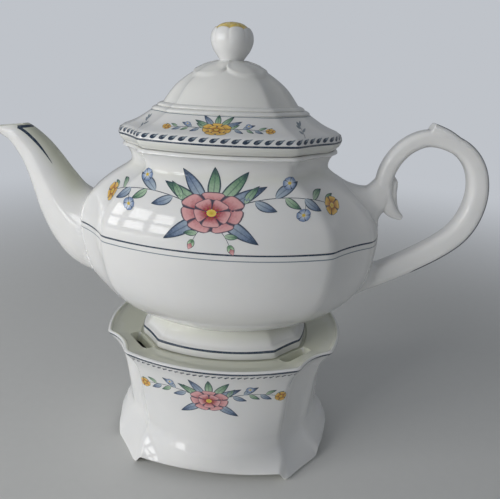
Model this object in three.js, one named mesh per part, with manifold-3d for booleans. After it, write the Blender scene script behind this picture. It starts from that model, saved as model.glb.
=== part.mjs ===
// Porcelain teapot standing on its matching warmer, with the tealight that heats it.
// Millimetres, +Z up. The origin is on the table, on the upright axis shared by pot and warmer.
// The spout points to -X, the handle to +X, and the decorated front faces -Y.

import * as THREE from 'three';
import { mergeVertices } from 'three/addons/utils/BufferGeometryUtils.js';
import Module from 'manifold-3d';

const wasm = await Module();
wasm.setup();
const { lerp, degToRad } = THREE.MathUtils;

// Driving dimensions shared by several pieces

const fitGap = 0.3;             // air between pieces that touch
const warmerHeight = 72.5;      // to the middle of its rolled rim
const potHeight = 110.2;        // from the underside of its foot to the rim of its neck
const lidHeight = 40.2;         // from its seat to the top of its dome
const potWall = 3.8;            // thickness of the pot's and the lid's porcelain
const reach = 136.5;            // spout tip and handle back, measured from the axis

// Eight-sided plans: the share of length and width that each cut corner takes,
// and how far its face is hollowed.
const warmerPlan = { cutLength: 0.264, cutWidth: 0.42, hollow: 3 };
const footPlan = { cutLength: 0.285, cutWidth: 0.44, hollow: 0.5 };
const potPlan = { cutLength: 0.27, cutWidth: 0.55, hollow: 1.5 };
const lidPlan = { cutLength: 0.3, cutWidth: 0.53, hollow: 0.8 };
const planSteps = { front: 8, end: 4, corner: 3 };

// How many stretches each smooth run of stations is divided into
const steps = { flare: 4, waist: 8, belly: 13, neck: 6, flange: 3, dome: 8, spout: 18, handle: 30, knob: 11 };

// Warmer. Stations run up the outside: half length and half width at the plan's
// corners, and how far the end and front faces bow out beyond them. Heights are shares
// of the whole height.
const warmerFlare = [
  { z: 0, length: 59.5, width: 46.5, endBow: 4, frontBow: 5 },
  { z: 0.11 * warmerHeight, length: 56.6, width: 43, endBow: 9.2, frontBow: 10.6 },
  { z: 0.234 * warmerHeight, length: 52.7, width: 39, endBow: 10.6, frontBow: 14.6 },
];
const warmerWaist = [
  { z: 0.234 * warmerHeight, length: 52.7, width: 39, endBow: 10.6, frontBow: 14.6 },
  { z: 0.372 * warmerHeight, length: 52.6, width: 38.6, endBow: 6, frontBow: 12 },
  { z: 0.552 * warmerHeight, length: 53.8, width: 39, endBow: 4.6, frontBow: 10.4 },
  { z: 0.745 * warmerHeight, length: 55.4, width: 40.4, endBow: 4.2, frontBow: 10 },
  { z: 0.883 * warmerHeight, length: 58.2, width: 42.6, endBow: 4.5, frontBow: 10.3 },
  { z: warmerHeight, length: 63.8, width: 46.2, endBow: 5, frontBow: 10.7 },
];
const warmerWall = 4;
const lipRadius = 1.1;          // rounded rim of the warmer
const deckFall = 3.8;           // how far the top deck falls towards the well
const wellDepth = 1;            // recess that locates the pot's foot
const wellPlay = 1.2;           // play round the foot in the recess
// Slots that let warm air out past the foot's cut corners
const vent = { length: 20, shift: 1.5, outward: 8, inward: 2.5, rounding: 3 };
const ledgeWidth = 6.5;         // shelf that carries the foot
const deckThickness = 4.5;
const clearOfEnds = 2;          // least height between a wall's last station and its end
const skirtGap = 5;             // height of the gap under the skirt
const cornerFoot = 6;           // reach of each corner foot along the skirt
const skirtCurl = 3;            // rounding where the skirt runs into a foot
const floorHeight = 9;          // underside of the warmer's floor above the table
const floorThickness = 4;
const airHole = { count: 6, diameter: 9, circle: 31 };

// Tealight
const tealight = { diameter: 38, height: 16, foil: 0.6, waxDepth: 12.5 };
const candleSeat = { play: 1, wall: 2.5, height: 3 };
const wick = { diameter: 1.6, length: 17, discDiameter: 12, discThickness: 0.8 };

// Pot, from the underside of its foot
const foot = {
  length: 45.6, width: 32.7, endBow: 2.6, frontBow: 6.3,
  edge: 0.8,          // bevel round its lower edge
  band: 5.2,          // height of its upright band
  shoulder: 1.4,      // step in above the band
  drawnIn: 8.5,       // how much narrower it is under the pot
  height: 13,         // from its underside to the pot's flat bottom
  wall: 5,
};
const potBelly = [
  { z: foot.height, length: 40, width: 26, endBow: 3, frontBow: 5, round: 1 },
  { z: 0.159 * potHeight, length: 52, width: 30.5, endBow: 4.5, frontBow: 6.5, round: 1 },
  { z: 0.227 * potHeight, length: 63.5, width: 35, endBow: 5, frontBow: 9.2, round: 0.8 },
  { z: 0.336 * potHeight, length: 73.5, width: 39, endBow: 4.8, frontBow: 12, round: 0.35 },
  { z: 0.472 * potHeight, length: 78, width: 40.2, endBow: 4.6, frontBow: 13.2, round: 0 },
  { z: 0.599 * potHeight, length: 79, width: 40.4, endBow: 4.4, frontBow: 13.4, round: 0 },
  { z: 0.69 * potHeight, length: 76.3, width: 39.8, endBow: 4.4, frontBow: 12.8, round: 0 },
  { z: 0.771 * potHeight, length: 69.4, width: 38, endBow: 4.4, frontBow: 11.3, round: 0 },
  { z: 0.835 * potHeight, length: 60.8, width: 35.8, endBow: 4.4, frontBow: 9.6, round: 0 },
  { z: 0.88 * potHeight, length: 52.8, width: 34, endBow: 4.4, frontBow: 8.4, round: 0 },
];
const potNeck = [
  { z: 0.88 * potHeight, length: 52.8, width: 34, endBow: 4.4, frontBow: 8.4, round: 0 },
  { z: 0.911 * potHeight, length: 49, width: 33.2, endBow: 4.4, frontBow: 7.8, round: 0 },
  { z: 0.953 * potHeight, length: 49.4, width: 34, endBow: 4.4, frontBow: 7.8, round: 0 },
  { z: potHeight, length: 52.8, width: 37, endBow: 4.6, frontBow: 8, round: 0 },
];

// Spout. Sections run from inside the belly to the lip: middle, half height, half width.
const spoutSections = [
  { x: -66, z: 0.499 * potHeight, high: 26, wide: 19 },
  { x: -78, z: 0.513 * potHeight, high: 24.5, wide: 17.5 },
  { x: -88, z: 0.576 * potHeight, high: 20.8, wide: 14.5 },
  { x: -95.6, z: 0.659 * potHeight, high: 16.6, wide: 12 },
  { x: -101, z: 0.753 * potHeight, high: 13.6, wide: 10.4 },
  { x: -106, z: 0.846 * potHeight, high: 11.4, wide: 9.2 },
  { x: -111.6, z: 0.926 * potHeight, high: 9.6, wide: 8.2 },
  { x: -119.5, z: 0.994 * potHeight, high: 7.4, wide: 7.2 },
  { x: -130, z: 1.022 * potHeight, high: 3.4, wide: 5.8 },
  { x: -reach, z: 1.027 * potHeight, high: 1.9, wide: 4 },
];
const spoutWall = 2.6;
// The bore's last sections rise through the roof, so that the lip is an open channel.
const lipBore = [
  { x: -119.5, z: 1.004 * potHeight, high: 5.4, wide: 4.8 },
  { x: -130, z: 1.042 * potHeight, high: 4, wide: 4 },
  { x: -reach - spoutWall, z: 1.056 * potHeight, high: 4, wide: 2.8 },
];
// Powers that shape a section: 1 gives an oval, less is squarer, more is pointed. The spout
// has a soft ridge down each side, the handle is squarish.
const spoutSection = { across: 0.9, upright: 1.3 };
const spoutMouth = { back: -112, backHeight: 1.05 * potHeight, lipHeight: 1.018 * potHeight };
const strainerHole = { diameter: 5, pitch: 8, x: -76, z: 0.5 * potHeight };

// Handle. Sections of its outer loop from the belly round to the hook.
const handleSection = { across: 0.7, upright: 0.7 };
const handleSections = [
  { x: 66, z: 0.299 * potHeight, high: 6.4, wide: 6.8 },
  { x: 91.3, z: 0.408 * potHeight, high: 6, wide: 6.4 },
  { x: 114.4, z: 0.54 * potHeight, high: 5.9, wide: 6.2 },
  { x: 126.5, z: 0.653 * potHeight, high: 5.8, wide: 6.1 },
  { x: reach - 5.3, z: 0.799 * potHeight, high: 5.3, wide: 6 },
  { x: 128.4, z: 0.94 * potHeight, high: 4.8, wide: 6 },
  { x: 119, z: 1.036 * potHeight, high: 4.4, wide: 6 },
  { x: 104, z: 1.074 * potHeight, high: 4.3, wide: 6 },
  { x: 92.5, z: 1.031 * potHeight, high: 4.3, wide: 6 },
  { x: 85, z: 0.935 * potHeight, high: 4.3, wide: 6 },
  { x: 83.4, z: 0.826 * potHeight, high: 4.3, wide: 6 },
  { x: 88, z: 0.73 * potHeight, high: 3.6, wide: 5.6 },
  { x: 94.5, z: 0.69 * potHeight, high: 1.4, wide: 4.4 },
];
const handleSpur = [
  { x: 117, z: 1.047 * potHeight, high: 4, wide: 5.8 },
  { x: 110.5, z: 1.089 * potHeight, high: 3.4, wide: 5.4 },
  { x: 103, z: 1.123 * potHeight, high: 2.4, wide: 4.6 },
];
const handleNeck = [
  { x: 66, z: 0.722 * potHeight, high: 12.5, wide: 9 },
  { x: 75, z: 0.749 * potHeight, high: 9.8, wide: 8 },
  { x: 80.5, z: 0.789 * potHeight, high: 8, wide: 6.6 },
  { x: 83.8, z: 0.862 * potHeight, high: 4.6, wide: 5.6 },
];

const handlePad = [
  { x: 87, z: 0.894 * potHeight, high: 0.8, wide: 1 },
  { x: 86.9, z: 0.862 * potHeight, high: 3.4, wide: 3.4 },
  { x: 87.1, z: 0.799 * potHeight, high: 3.6, wide: 3.8 },
  { x: 90, z: 0.74 * potHeight, high: 2.2, wide: 2.6 },
  { x: 93.4, z: 0.704 * potHeight, high: 0.8, wide: 1.2 },
];

// Lid, from its seat on the pot's rim
const lidEdge = [
  { z: 0, length: 51.6, width: 36.6, endBow: 4.4, frontBow: 7.9, round: 0 },
  { z: 0.052 * lidHeight, length: 53.3, width: 38.2, endBow: 4.9, frontBow: 8.1, round: 0 },
  { z: 0.117 * lidHeight, length: 54.1, width: 38.8, endBow: 5, frontBow: 8.1, round: 0 },
  { z: 0.174 * lidHeight, length: 53.4, width: 38, endBow: 4.9, frontBow: 8.1, round: 0 },
];
const lidFlange = [
  { z: 0.209 * lidHeight, length: 51.6, width: 36.4, endBow: 4.7, frontBow: 8, round: 0 },
  { z: 0.284 * lidHeight, length: 45, width: 31.4, endBow: 4.2, frontBow: 7.4, round: 0 },
  { z: 0.408 * lidHeight, length: 37.8, width: 26.4, endBow: 3.4, frontBow: 6.4, round: 0 },
];
const bead = { count: 2, proud: 1, lift: 0.6 };   // round mouldings at the foot of the dome
const lidDome = [
  { z: 0.532 * lidHeight, length: 31.8, width: 22.6, endBow: 2.8, frontBow: 5.4, round: 0 },
  { z: 0.709 * lidHeight, length: 26.6, width: 19.2, endBow: 2.3, frontBow: 4.6, round: 0 },
  { z: 0.871 * lidHeight, length: 18.6, width: 14.2, endBow: 1.6, frontBow: 3.4, round: 0.3 },
  { z: 0.96 * lidHeight, length: 12, width: 10.4, endBow: 0.8, frontBow: 1.6, round: 0.8 },
  { z: lidHeight, length: 7.2, width: 7.2, endBow: 0, frontBow: 0, round: 1 },
];
const lidCollar = { depth: 9, play: 1.4, wall: 3.5 };
const steamHole = { diameter: 3.5, y: 15 };
const calyx = { lobes: 4, reach: 21, notch: 16.5, thickness: 1.1 };
const knob = { radius: 10.8, baseRadius: 6.2, height: 17.6, petals: 5, groove: 0.8 };

// Plans, stations and lofts

// Every value of a station part of the way from one to another.
function between(a, b, t) {
  return Object.fromEntries(Object.keys(a).map((name) => [name, lerp(a[name], b[name], t)]));
}

// One side of a plan from corner a towards corner b, bowed outwards, without its last point.
function bowedSide(a, b, bow, count) {
  const along = new THREE.Vector2().subVectors(b, a);
  const outward = new THREE.Vector2(along.y, -along.x).normalize();
  return Array.from({ length: count }, (_, i) => {
    const t = i / count;
    return a.clone().addScaledVector(along, t).addScaledVector(outward, 4 * bow * t * (1 - t));
  });
}

// Outline at one station: bowed front, back and ends between four cut corners.
function planRing(station, plan) {
  const { z, length, width, endBow, frontBow, round = 0 } = station;
  const frontX = length * (1 - plan.cutLength);
  const endY = width * (1 - plan.cutWidth);
  const corners = [
    [frontX, -width], [length, -endY], [length, endY], [frontX, width],
    [-frontX, width], [-length, endY], [-length, -endY], [-frontX, -width],
  ].map(([x, y]) => new THREE.Vector2(x, y));
  const sides = [
    { bow: -plan.hollow, count: planSteps.corner }, { bow: endBow, count: planSteps.end },
    { bow: -plan.hollow, count: planSteps.corner }, { bow: frontBow, count: planSteps.front },
  ];
  const outline = corners.flatMap((corner, i) => {
    const { bow, count } = sides[i % sides.length];
    return bowedSide(corner, corners[(i + 1) % corners.length], bow, count);
  });
  return outline.map((p) => {
    const toOval = 1 / Math.hypot(p.x / (length + endBow), p.y / (width + frontBow));
    const scale = lerp(1, toOval, round);
    return new THREE.Vector3(p.x * scale, p.y * scale, z);
  });
}

// Stations on a smooth curve through the given ones, with every value blended alike.
function smoothStations(stations, count) {
  const names = Object.keys(stations[0]);
  const curves = names.map((name) => new THREE.SplineCurve(
    stations.map((station, i) => new THREE.Vector2(i, station[name])),
  ));
  return Array.from({ length: count + 1 }, (_, i) => {
    const values = curves.map((curve) => curve.getPoint(i / count).y);
    return Object.fromEntries(names.map((name, k) => [name, values[k]]));
  });
}

// The same run of stations moved inwards by a wall, square to its slope.
function insetStations(stations, wall) {
  return stations.map((station, i) => {
    const before = stations[Math.max(i - 1, 0)];
    const after = stations[Math.min(i + 1, stations.length - 1)];
    const run = (after.length + after.width - before.length - before.width) / 2;
    const rise = after.z - before.z;
    const slope = Math.hypot(run, rise);
    const inwards = (wall * rise) / slope;
    return {
      ...station,
      z: station.z + (wall * run) / slope,
      length: station.length - inwards,
      width: station.width - inwards,
    };
  });
}

function grow(station, by, lift = 0) {
  return { ...station, z: station.z + lift, length: station.length + by, width: station.width + by };
}

// Closed body through rings of equally many points. The rings run along the body and each
// turns anticlockwise seen from its far end. A looped body joins its last ring to its first.
function loft(rings, looped = false) {
  const count = rings[0].length;
  const points = rings.flat();
  const faces = [];
  const last = looped ? rings.length : rings.length - 1;
  for (let r = 0; r < last; r += 1) {
    const low = r * count;
    const high = ((r + 1) % rings.length) * count;
    for (let i = 0; i < count; i += 1) {
      const j = (i + 1) % count;
      faces.push(low + i, low + j, high + j, low + i, high + j, high + i);
    }
  }
  if (!looped) {
    const ends = [[rings[0], 0, true], [rings[rings.length - 1], (rings.length - 1) * count, false]];
    for (const [ring, start, flip] of ends) {
      const middle = new THREE.Vector3();
      ring.forEach((point) => middle.addScaledVector(point, 1 / count));
      points.push(middle);
      for (let i = 0; i < count; i += 1) {
        const edge = [start + i, start + ((i + 1) % count)];
        faces.push(points.length - 1, ...(flip ? edge.reverse() : edge));
      }
    }
  }
  const geometry = new THREE.BufferGeometry().setFromPoints(points);
  geometry.setIndex(faces);
  return geometry;
}

function toSolid(geometry) {
  const bare = geometry.clone();
  bare.deleteAttribute('normal');
  bare.deleteAttribute('uv');
  const merged = mergeVertices(bare, 1e-4);
  return new wasm.Manifold(new wasm.Mesh({
    numProp: 3,
    vertProperties: Float32Array.from(merged.getAttribute('position').array),
    triVerts: Uint32Array.from(merged.getIndex().array),
  }));
}

function toGeometry(solid) {
  const { vertProperties, triVerts } = solid.getMesh();
  const geometry = new THREE.BufferGeometry();
  geometry.setAttribute('position', new THREE.BufferAttribute(vertProperties, 3));
  geometry.setIndex(new THREE.BufferAttribute(triVerts, 1));
  return geometry;
}

function planSolid(stations, plan, looped = false) {
  return toSolid(loft(stations.map((station) => planRing(station, plan)), looped));
}

// Tube in the XZ plane with rounded oblong sections, set square to its middle line.
function bentBar(sections, count, sides, powers) {
  const stations = smoothStations(sections, count);
  return loft(stations.map((station, i) => {
    const before = stations[Math.max(i - 1, 0)];
    const after = stations[Math.min(i + 1, count)];
    const tangent = new THREE.Vector2(after.x - before.x, after.z - before.z).normalize();
    return Array.from({ length: sides }, (_, k) => {
      const angle = (2 * Math.PI * k) / sides;
      const [across, upright] = [Math.cos(angle), Math.sin(angle)];
      const side = Math.sign(across) * Math.abs(across) ** powers.across * station.wide;
      const up = Math.sign(upright) * Math.abs(upright) ** powers.upright * station.high;
      return new THREE.Vector3(station.x - tangent.y * up, side, station.z + tangent.x * up);
    });
  }));
}

function upright(radius, bottom, top, sides = 24) {
  const geometry = new THREE.CylinderGeometry(radius, radius, top - bottom, sides);
  geometry.rotateX(Math.PI / 2);
  geometry.translate(0, 0, (top + bottom) / 2);
  return geometry;
}

function material(color, roughness, metalness = 0) {
  return new THREE.MeshStandardMaterial({ color, roughness, metalness });
}

function piece(name, solid, finish) {
  const mesh = new THREE.Mesh(toGeometry(solid), finish);
  mesh.name = name;
  return mesh;
}

const porcelain = () => material(0xe9e8e4, 0.12);
const wax = () => material(0xf3efe2, 0.5);
const aluminium = () => material(0xc9ccd0, 0.35, 0.9);
const cotton = () => material(0xe6dcc4, 0.9);

// Heights that pieces share

const rimTop = warmerWaist[warmerWaist.length - 1].z + lipRadius;
const deckEdge = rimTop - deckFall;
const ledgeTop = deckEdge - wellDepth;
const floorTop = floorHeight + floorThickness;
const potSeat = ledgeTop + fitGap;
const potRim = potNeck[potNeck.length - 1];
const lidSeat = potRim.z + fitGap;

// Warmer

function footOutline(z, by = 0) {
  const { length, width, endBow, frontBow } = foot;
  return grow({ z, length, width, endBow, frontBow }, by);
}

function stationAt(stations, z) {
  const above = Math.max(stations.findIndex((station) => station.z >= z), 1);
  const [a, b] = [stations[above - 1], stations[above]];
  return between(a, b, (z - a.z) / (b.z - a.z));
}

const warmerOutside = [
  ...smoothStations(warmerFlare, steps.flare),
  ...smoothStations(warmerWaist, steps.waist).slice(1),
];
const warmerInside = insetStations(warmerOutside, warmerWall);
const deckUnderside = ledgeTop - deckThickness;

function warmerShell() {
  const rim = warmerOutside[warmerOutside.length - 1];
  const lip = [45, 90, 135].map((degrees) => {
    const angle = degToRad(degrees);
    return grow(rim, lipRadius * (Math.cos(angle) - 1), lipRadius * Math.sin(angle));
  });
  const well = footOutline(deckEdge, wellPlay);
  const opening = footOutline(ledgeTop, -ledgeWidth);
  const middle = warmerInside.filter(({ z }, i) => (
    i % 2 === 0 && z > clearOfEnds && z < deckUnderside - clearOfEnds
  ));
  const inside = [stationAt(warmerInside, 0), ...middle, stationAt(warmerInside, deckUnderside)];
  const profile = [
    ...warmerOutside, ...lip, well, { ...well, z: ledgeTop }, opening,
    { ...opening, z: deckUnderside }, ...inside.reverse(),
  ];
  return planSolid(profile, warmerPlan, true);
}

// Gap under a skirt: it ends in a quarter round on each corner foot.
function skirtSlot(halfSpan, halfDepth, turned) {
  const shape = new THREE.Shape();
  shape.moveTo(-halfSpan, -1);
  shape.lineTo(halfSpan, -1);
  shape.lineTo(halfSpan, skirtGap - skirtCurl);
  shape.absarc(halfSpan - skirtCurl, skirtGap - skirtCurl, skirtCurl, 0, Math.PI / 2);
  shape.absarc(-halfSpan + skirtCurl, skirtGap - skirtCurl, skirtCurl, Math.PI / 2, Math.PI);
  const slot = new THREE.ExtrudeGeometry(shape, {
    depth: 2 * halfDepth, bevelEnabled: false, curveSegments: 4,
  });
  slot.translate(0, 0, -halfDepth);
  slot.rotateX(Math.PI / 2);
  if (turned) slot.rotateZ(Math.PI / 2);
  return toSolid(slot);
}

function ventSlot(signX, signY) {
  const cornerX = foot.length * (1 - footPlan.cutLength / 2);
  const cornerY = foot.width * (1 - footPlan.cutWidth / 2);
  const run = foot.length * footPlan.cutLength;
  const rise = foot.width * footPlan.cutWidth;
  const half = vent.length / 2;
  const shape = new THREE.Shape();
  shape.moveTo(-vent.inward, -half);
  shape.lineTo(vent.outward - vent.rounding, -half);
  shape.absarc(vent.outward - vent.rounding, vent.rounding - half, vent.rounding, -Math.PI / 2, 0);
  shape.absarc(vent.outward - vent.rounding, half - vent.rounding, vent.rounding, 0, Math.PI / 2);
  shape.lineTo(-vent.inward, half);
  const slot = new THREE.ExtrudeGeometry(shape, {
    depth: rimTop - deckUnderside + 2, bevelEnabled: false, curveSegments: 3,
  });
  slot.translate(0, -signX * signY * vent.shift, deckUnderside - 1);
  slot.rotateZ(Math.atan2(signY * run, signX * rise));
  slot.translate(signX * cornerX, signY * cornerY, 0);
  return toSolid(slot);
}

function warmerFloor() {
  const plate = [floorHeight, floorTop].map((z) => (
    grow({ ...stationAt(warmerInside, z), z }, warmerWall / 4)
  ));
  const seatInner = (tealight.diameter + candleSeat.play) / 2;
  const seatTop = floorTop + candleSeat.height;
  let floor = planSolid(plate, warmerPlan)
    .add(toSolid(upright(seatInner + candleSeat.wall, floorTop - 1, seatTop, 40)))
    .subtract(toSolid(upright(seatInner, floorTop, seatTop + 1, 40)));
  for (let i = 0; i < airHole.count; i += 1) {
    const angle = (2 * Math.PI * (i + 0.5)) / airHole.count;
    const hole = upright(airHole.diameter / 2, floorHeight - 1, floorTop + 1, 16);
    hole.translate(airHole.circle * Math.cos(angle), airHole.circle * Math.sin(angle), 0);
    floor = floor.subtract(toSolid(hole));
  }
  return floor;
}

function makeWarmer() {
  const base = warmerFlare[0];
  const frontSpan = base.length * (1 - warmerPlan.cutLength) - cornerFoot;
  const endSpan = base.width * (1 - warmerPlan.cutWidth) - cornerFoot;
  let warmer = warmerShell().add(warmerFloor())
    .subtract(skirtSlot(frontSpan, 2 * base.width, false))
    .subtract(skirtSlot(endSpan, 2 * base.length, true));
  for (const signX of [-1, 1]) {
    for (const signY of [-1, 1]) warmer = warmer.subtract(ventSlot(signX, signY));
  }
  return piece('warmer_body', warmer, porcelain());
}

// Tealight, from the floor of the warmer up

function makeTealight() {
  const { diameter, height, foil, waxDepth } = tealight;
  const inner = diameter / 2 - foil;
  const cup = toSolid(upright(diameter / 2, 0, height, 40))
    .subtract(toSolid(upright(inner, foil, height + 1, 40)));
  const discBottom = foil + fitGap;
  const discTop = discBottom + wick.discThickness;
  const disc = toSolid(upright(wick.discDiameter / 2, discBottom, discTop));
  const strand = toSolid(upright(wick.diameter / 2, discTop + fitGap, discTop + fitGap + wick.length, 10));
  const candle = toSolid(upright(inner - fitGap, discBottom, foil + waxDepth, 40))
    .subtract(toSolid(upright(wick.discDiameter / 2 + fitGap, 0, discTop + fitGap)))
    .subtract(toSolid(upright(wick.diameter / 2 + fitGap, 0, height, 10)));
  const group = new THREE.Group();
  group.add(
    piece('tealight_cup', cup, aluminium()), piece('tealight_wax', candle, wax()),
    piece('tealight_wick_disc', disc, aluminium()), piece('tealight_wick', strand, cotton()),
  );
  group.position.z = floorTop + fitGap;
  return group;
}

// Pot

const potOutside = [
  ...smoothStations(potBelly, steps.belly),
  ...smoothStations(potNeck, steps.neck).slice(1),
];
const potSkin = planSolid(insetStations(potOutside, -fitGap), potPlan);

function makePotBody() {
  const inside = insetStations(potOutside, potWall).filter((_, i) => i % 2 === 0);
  const mouth = { ...inside[inside.length - 1], z: potRim.z + 1 };
  let body = planSolid(potOutside, potPlan).subtract(planSolid([...inside, mouth], potPlan));
  const rows = [-1.5, -0.5, 0.5, 1.5];
  for (const row of rows) {
    const columns = Math.abs(row) > 1 ? [-0.5, 0.5] : [-1, 0, 1];
    for (const column of columns) {
      const hole = upright(strainerHole.diameter / 2, -1, 1, 12);
      hole.scale(1, 1, 3 * potWall);
      hole.rotateY(Math.PI / 2);
      hole.translate(strainerHole.x, column * strainerHole.pitch, strainerHole.z + row * strainerHole.pitch);
      body = body.subtract(toSolid(hole));
    }
  }
  return piece('pot_body', body, porcelain());
}

function makePotFoot() {
  const top = foot.height - fitGap;
  const bend = lerp(foot.band, top, 0.5);
  const outside = [
    footOutline(0, -foot.edge), footOutline(foot.edge), footOutline(foot.band),
    footOutline(foot.band + foot.edge, -foot.shoulder), footOutline(bend, -0.6 * foot.drawnIn),
    footOutline(top, -foot.drawnIn),
  ];
  const inside = [
    footOutline(top, -foot.drawnIn - foot.wall), footOutline(foot.band, -foot.wall - foot.shoulder),
    footOutline(0, -foot.wall),
  ];
  return piece('pot_foot', planSolid([...outside, ...inside], footPlan, true), porcelain());
}

function makeSpout() {
  const bore = spoutSections.slice(0, -lipBore.length).map((section) => ({
    ...section, high: section.high - spoutWall, wide: section.wide - spoutWall,
  })).concat(lipBore);
  const pastLip = -reach - spoutWall;
  const above = spoutMouth.backHeight + spoutSections[0].high;
  const mouth = new THREE.Shape([
    new THREE.Vector2(spoutMouth.back, spoutMouth.backHeight),
    new THREE.Vector2(pastLip, spoutMouth.lipHeight),
    new THREE.Vector2(pastLip, above),
    new THREE.Vector2(spoutMouth.back, above),
  ]);
  const widest = spoutSections[0].wide;
  const slice = new THREE.ExtrudeGeometry(mouth, { depth: 2 * widest, bevelEnabled: false });
  slice.translate(0, 0, -widest);
  slice.rotateX(Math.PI / 2);
  const spout = toSolid(bentBar(spoutSections, steps.spout, 20, spoutSection))
    .subtract(toSolid(bentBar(bore, steps.spout, 12, spoutSection)))
    .subtract(toSolid(slice))
    .subtract(potSkin);
  return piece('pot_spout', spout, porcelain());
}

function makeHandle() {
  const handle = toSolid(bentBar(handleSections, steps.handle, 12, handleSection))
    .add(toSolid(bentBar(handleSpur, 5, 12, handleSection)))
    .add(toSolid(bentBar(handleNeck, 6, 12, handleSection)))
    .add(toSolid(bentBar(handlePad, 6, 8, handleSection)))
    .subtract(potSkin);
  return piece('pot_handle', handle, porcelain());
}

// Lid

// Half-round mouldings side by side, from one station up to another.
function beads(from, to) {
  const stations = [];
  for (let i = 0; i < bead.count; i += 1) {
    for (const degrees of [0, 30, 90, 150]) {
      const angle = degToRad(degrees);
      const base = between(from, to, (i + (1 - Math.cos(angle)) / 2) / bead.count);
      stations.push(grow(base, bead.proud * Math.sin(angle), bead.lift * Math.sin(angle)));
    }
  }
  return stations.slice(1);
}

const dome = smoothStations(lidDome, steps.dome);
const calyxOutside = insetStations(dome, -calyx.thickness);
const knobSeat = calyxOutside[calyxOutside.length - 1].z + fitGap;

function makeLidBody() {
  const flange = smoothStations(lidFlange, steps.flange);
  const moulding = beads(flange[flange.length - 1], dome[0]);
  const outside = [...lidEdge, ...flange, ...moulding, ...dome];
  const neckInside = insetStations(potOutside, potWall).filter((station) => station.z > potNeck[0].z);
  const narrow = neckInside.reduce((a, b) => (a.length < b.length ? a : b));
  const collarAt = (z, by) => grow({ ...narrow, z }, by - lidCollar.play);
  const collar = [
    collarAt(-lidCollar.depth, 0), collarAt(1, 0),
    collarAt(1, -lidCollar.wall), collarAt(-lidCollar.depth, -lidCollar.wall),
  ];
  const throat = collarAt(0, -lidCollar.wall);
  const hollow = insetStations([...flange, ...dome], potWall)
    .filter((station) => station.length < throat.length - 1);
  const cavity = [{ ...throat, z: -lidCollar.depth - 1 }, { ...throat, z: 2 }, ...hollow];
  const lobePoints = 12 * calyx.lobes;
  const lobes = new THREE.Shape(Array.from({ length: lobePoints }, (_, i) => {
    const angle = (2 * Math.PI * i) / lobePoints;
    const lobe = Math.abs(Math.sin((calyx.lobes * angle) / 2)) ** 0.6;
    const radius = lerp(calyx.notch, calyx.reach, lobe);
    return new THREE.Vector2(radius * Math.cos(angle), radius * Math.sin(angle));
  }));
  const lobePrism = new THREE.ExtrudeGeometry(lobes, { depth: knobSeat - dome[0].z, bevelEnabled: false });
  lobePrism.translate(0, 0, dome[0].z);
  const steam = upright(steamHole.diameter / 2, dome[0].z, knobSeat, 12);
  steam.translate(0, steamHole.y, 0);
  const lid = planSolid(outside, lidPlan)
    .add(planSolid(collar, potPlan, true))
    .add(planSolid(calyxOutside, lidPlan).intersect(toSolid(lobePrism)))
    .subtract(planSolid(cavity, potPlan))
    .subtract(toSolid(steam));
  return piece('lid_body', lid, porcelain());
}

// Bud with petals closed round its top, each marked off by a shallow groove.
function makeKnob() {
  const { radius, baseRadius, height } = knob;
  const outline = smoothStations([
    { z: 0, r: baseRadius }, { z: 0.1 * height, r: 1.1 * baseRadius },
    { z: 0.26 * height, r: 0.87 * radius }, { z: 0.48 * height, r: radius },
    { z: 0.7 * height, r: 0.97 * radius }, { z: 0.87 * height, r: 0.8 * radius },
    { z: 0.96 * height, r: 0.55 * radius }, { z: height, r: 0.15 * radius },
  ], steps.knob);
  const sides = 8 * knob.petals;
  const rings = outline.map(({ z, r }) => Array.from({ length: sides }, (_, i) => {
    const angle = (2 * Math.PI * i) / sides;
    const groove = knob.groove * (1 - Math.abs(Math.sin((knob.petals * angle) / 2))) ** 3 * (r / radius);
    return new THREE.Vector3((r - groove) * Math.cos(angle), (r - groove) * Math.sin(angle), z);
  }));
  const mesh = piece('lid_knob', toSolid(loft(rings)), porcelain());
  mesh.position.z = knobSeat;
  return mesh;
}

// Assembly

const lid = new THREE.Group();
lid.add(makeLidBody(), makeKnob());
lid.position.z = lidSeat;

const pot = new THREE.Group();
pot.add(makePotBody(), makePotFoot(), makeSpout(), makeHandle(), lid);
pot.position.z = potSeat;

const teapotOnWarmer = new THREE.Group();
teapotOnWarmer.add(makeWarmer(), makeTealight(), pot);

export default teapotOnWarmer;
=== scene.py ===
import math
from bisect import bisect

import bmesh
import bpy
from mathutils import Matrix, Vector
from mathutils.bvhtree import BVHTree


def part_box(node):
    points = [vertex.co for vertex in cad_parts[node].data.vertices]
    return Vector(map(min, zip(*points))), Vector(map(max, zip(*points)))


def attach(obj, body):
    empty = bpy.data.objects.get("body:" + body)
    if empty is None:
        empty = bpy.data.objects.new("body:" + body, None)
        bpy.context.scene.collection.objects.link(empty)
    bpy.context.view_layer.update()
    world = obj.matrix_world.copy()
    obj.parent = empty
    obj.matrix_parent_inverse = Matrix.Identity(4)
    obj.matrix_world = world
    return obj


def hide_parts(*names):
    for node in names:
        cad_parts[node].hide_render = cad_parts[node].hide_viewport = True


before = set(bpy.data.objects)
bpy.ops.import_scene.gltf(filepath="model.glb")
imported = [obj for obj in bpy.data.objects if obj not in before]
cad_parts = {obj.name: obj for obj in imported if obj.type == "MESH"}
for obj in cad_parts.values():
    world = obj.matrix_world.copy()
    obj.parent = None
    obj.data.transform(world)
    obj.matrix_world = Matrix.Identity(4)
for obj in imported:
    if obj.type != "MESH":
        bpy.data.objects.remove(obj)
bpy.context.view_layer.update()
mm = 0.001
print("frame loaded")

# Smooth curves and eight-sided outlines, all in millimetres

sideSteps = {"front": 64, "end": 40, "corner": 28}
crowding = 0.6    # how much a side's points crowd towards its corners
widestEdge = 0.3  # the largest share of a side that its soft edge takes up


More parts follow.
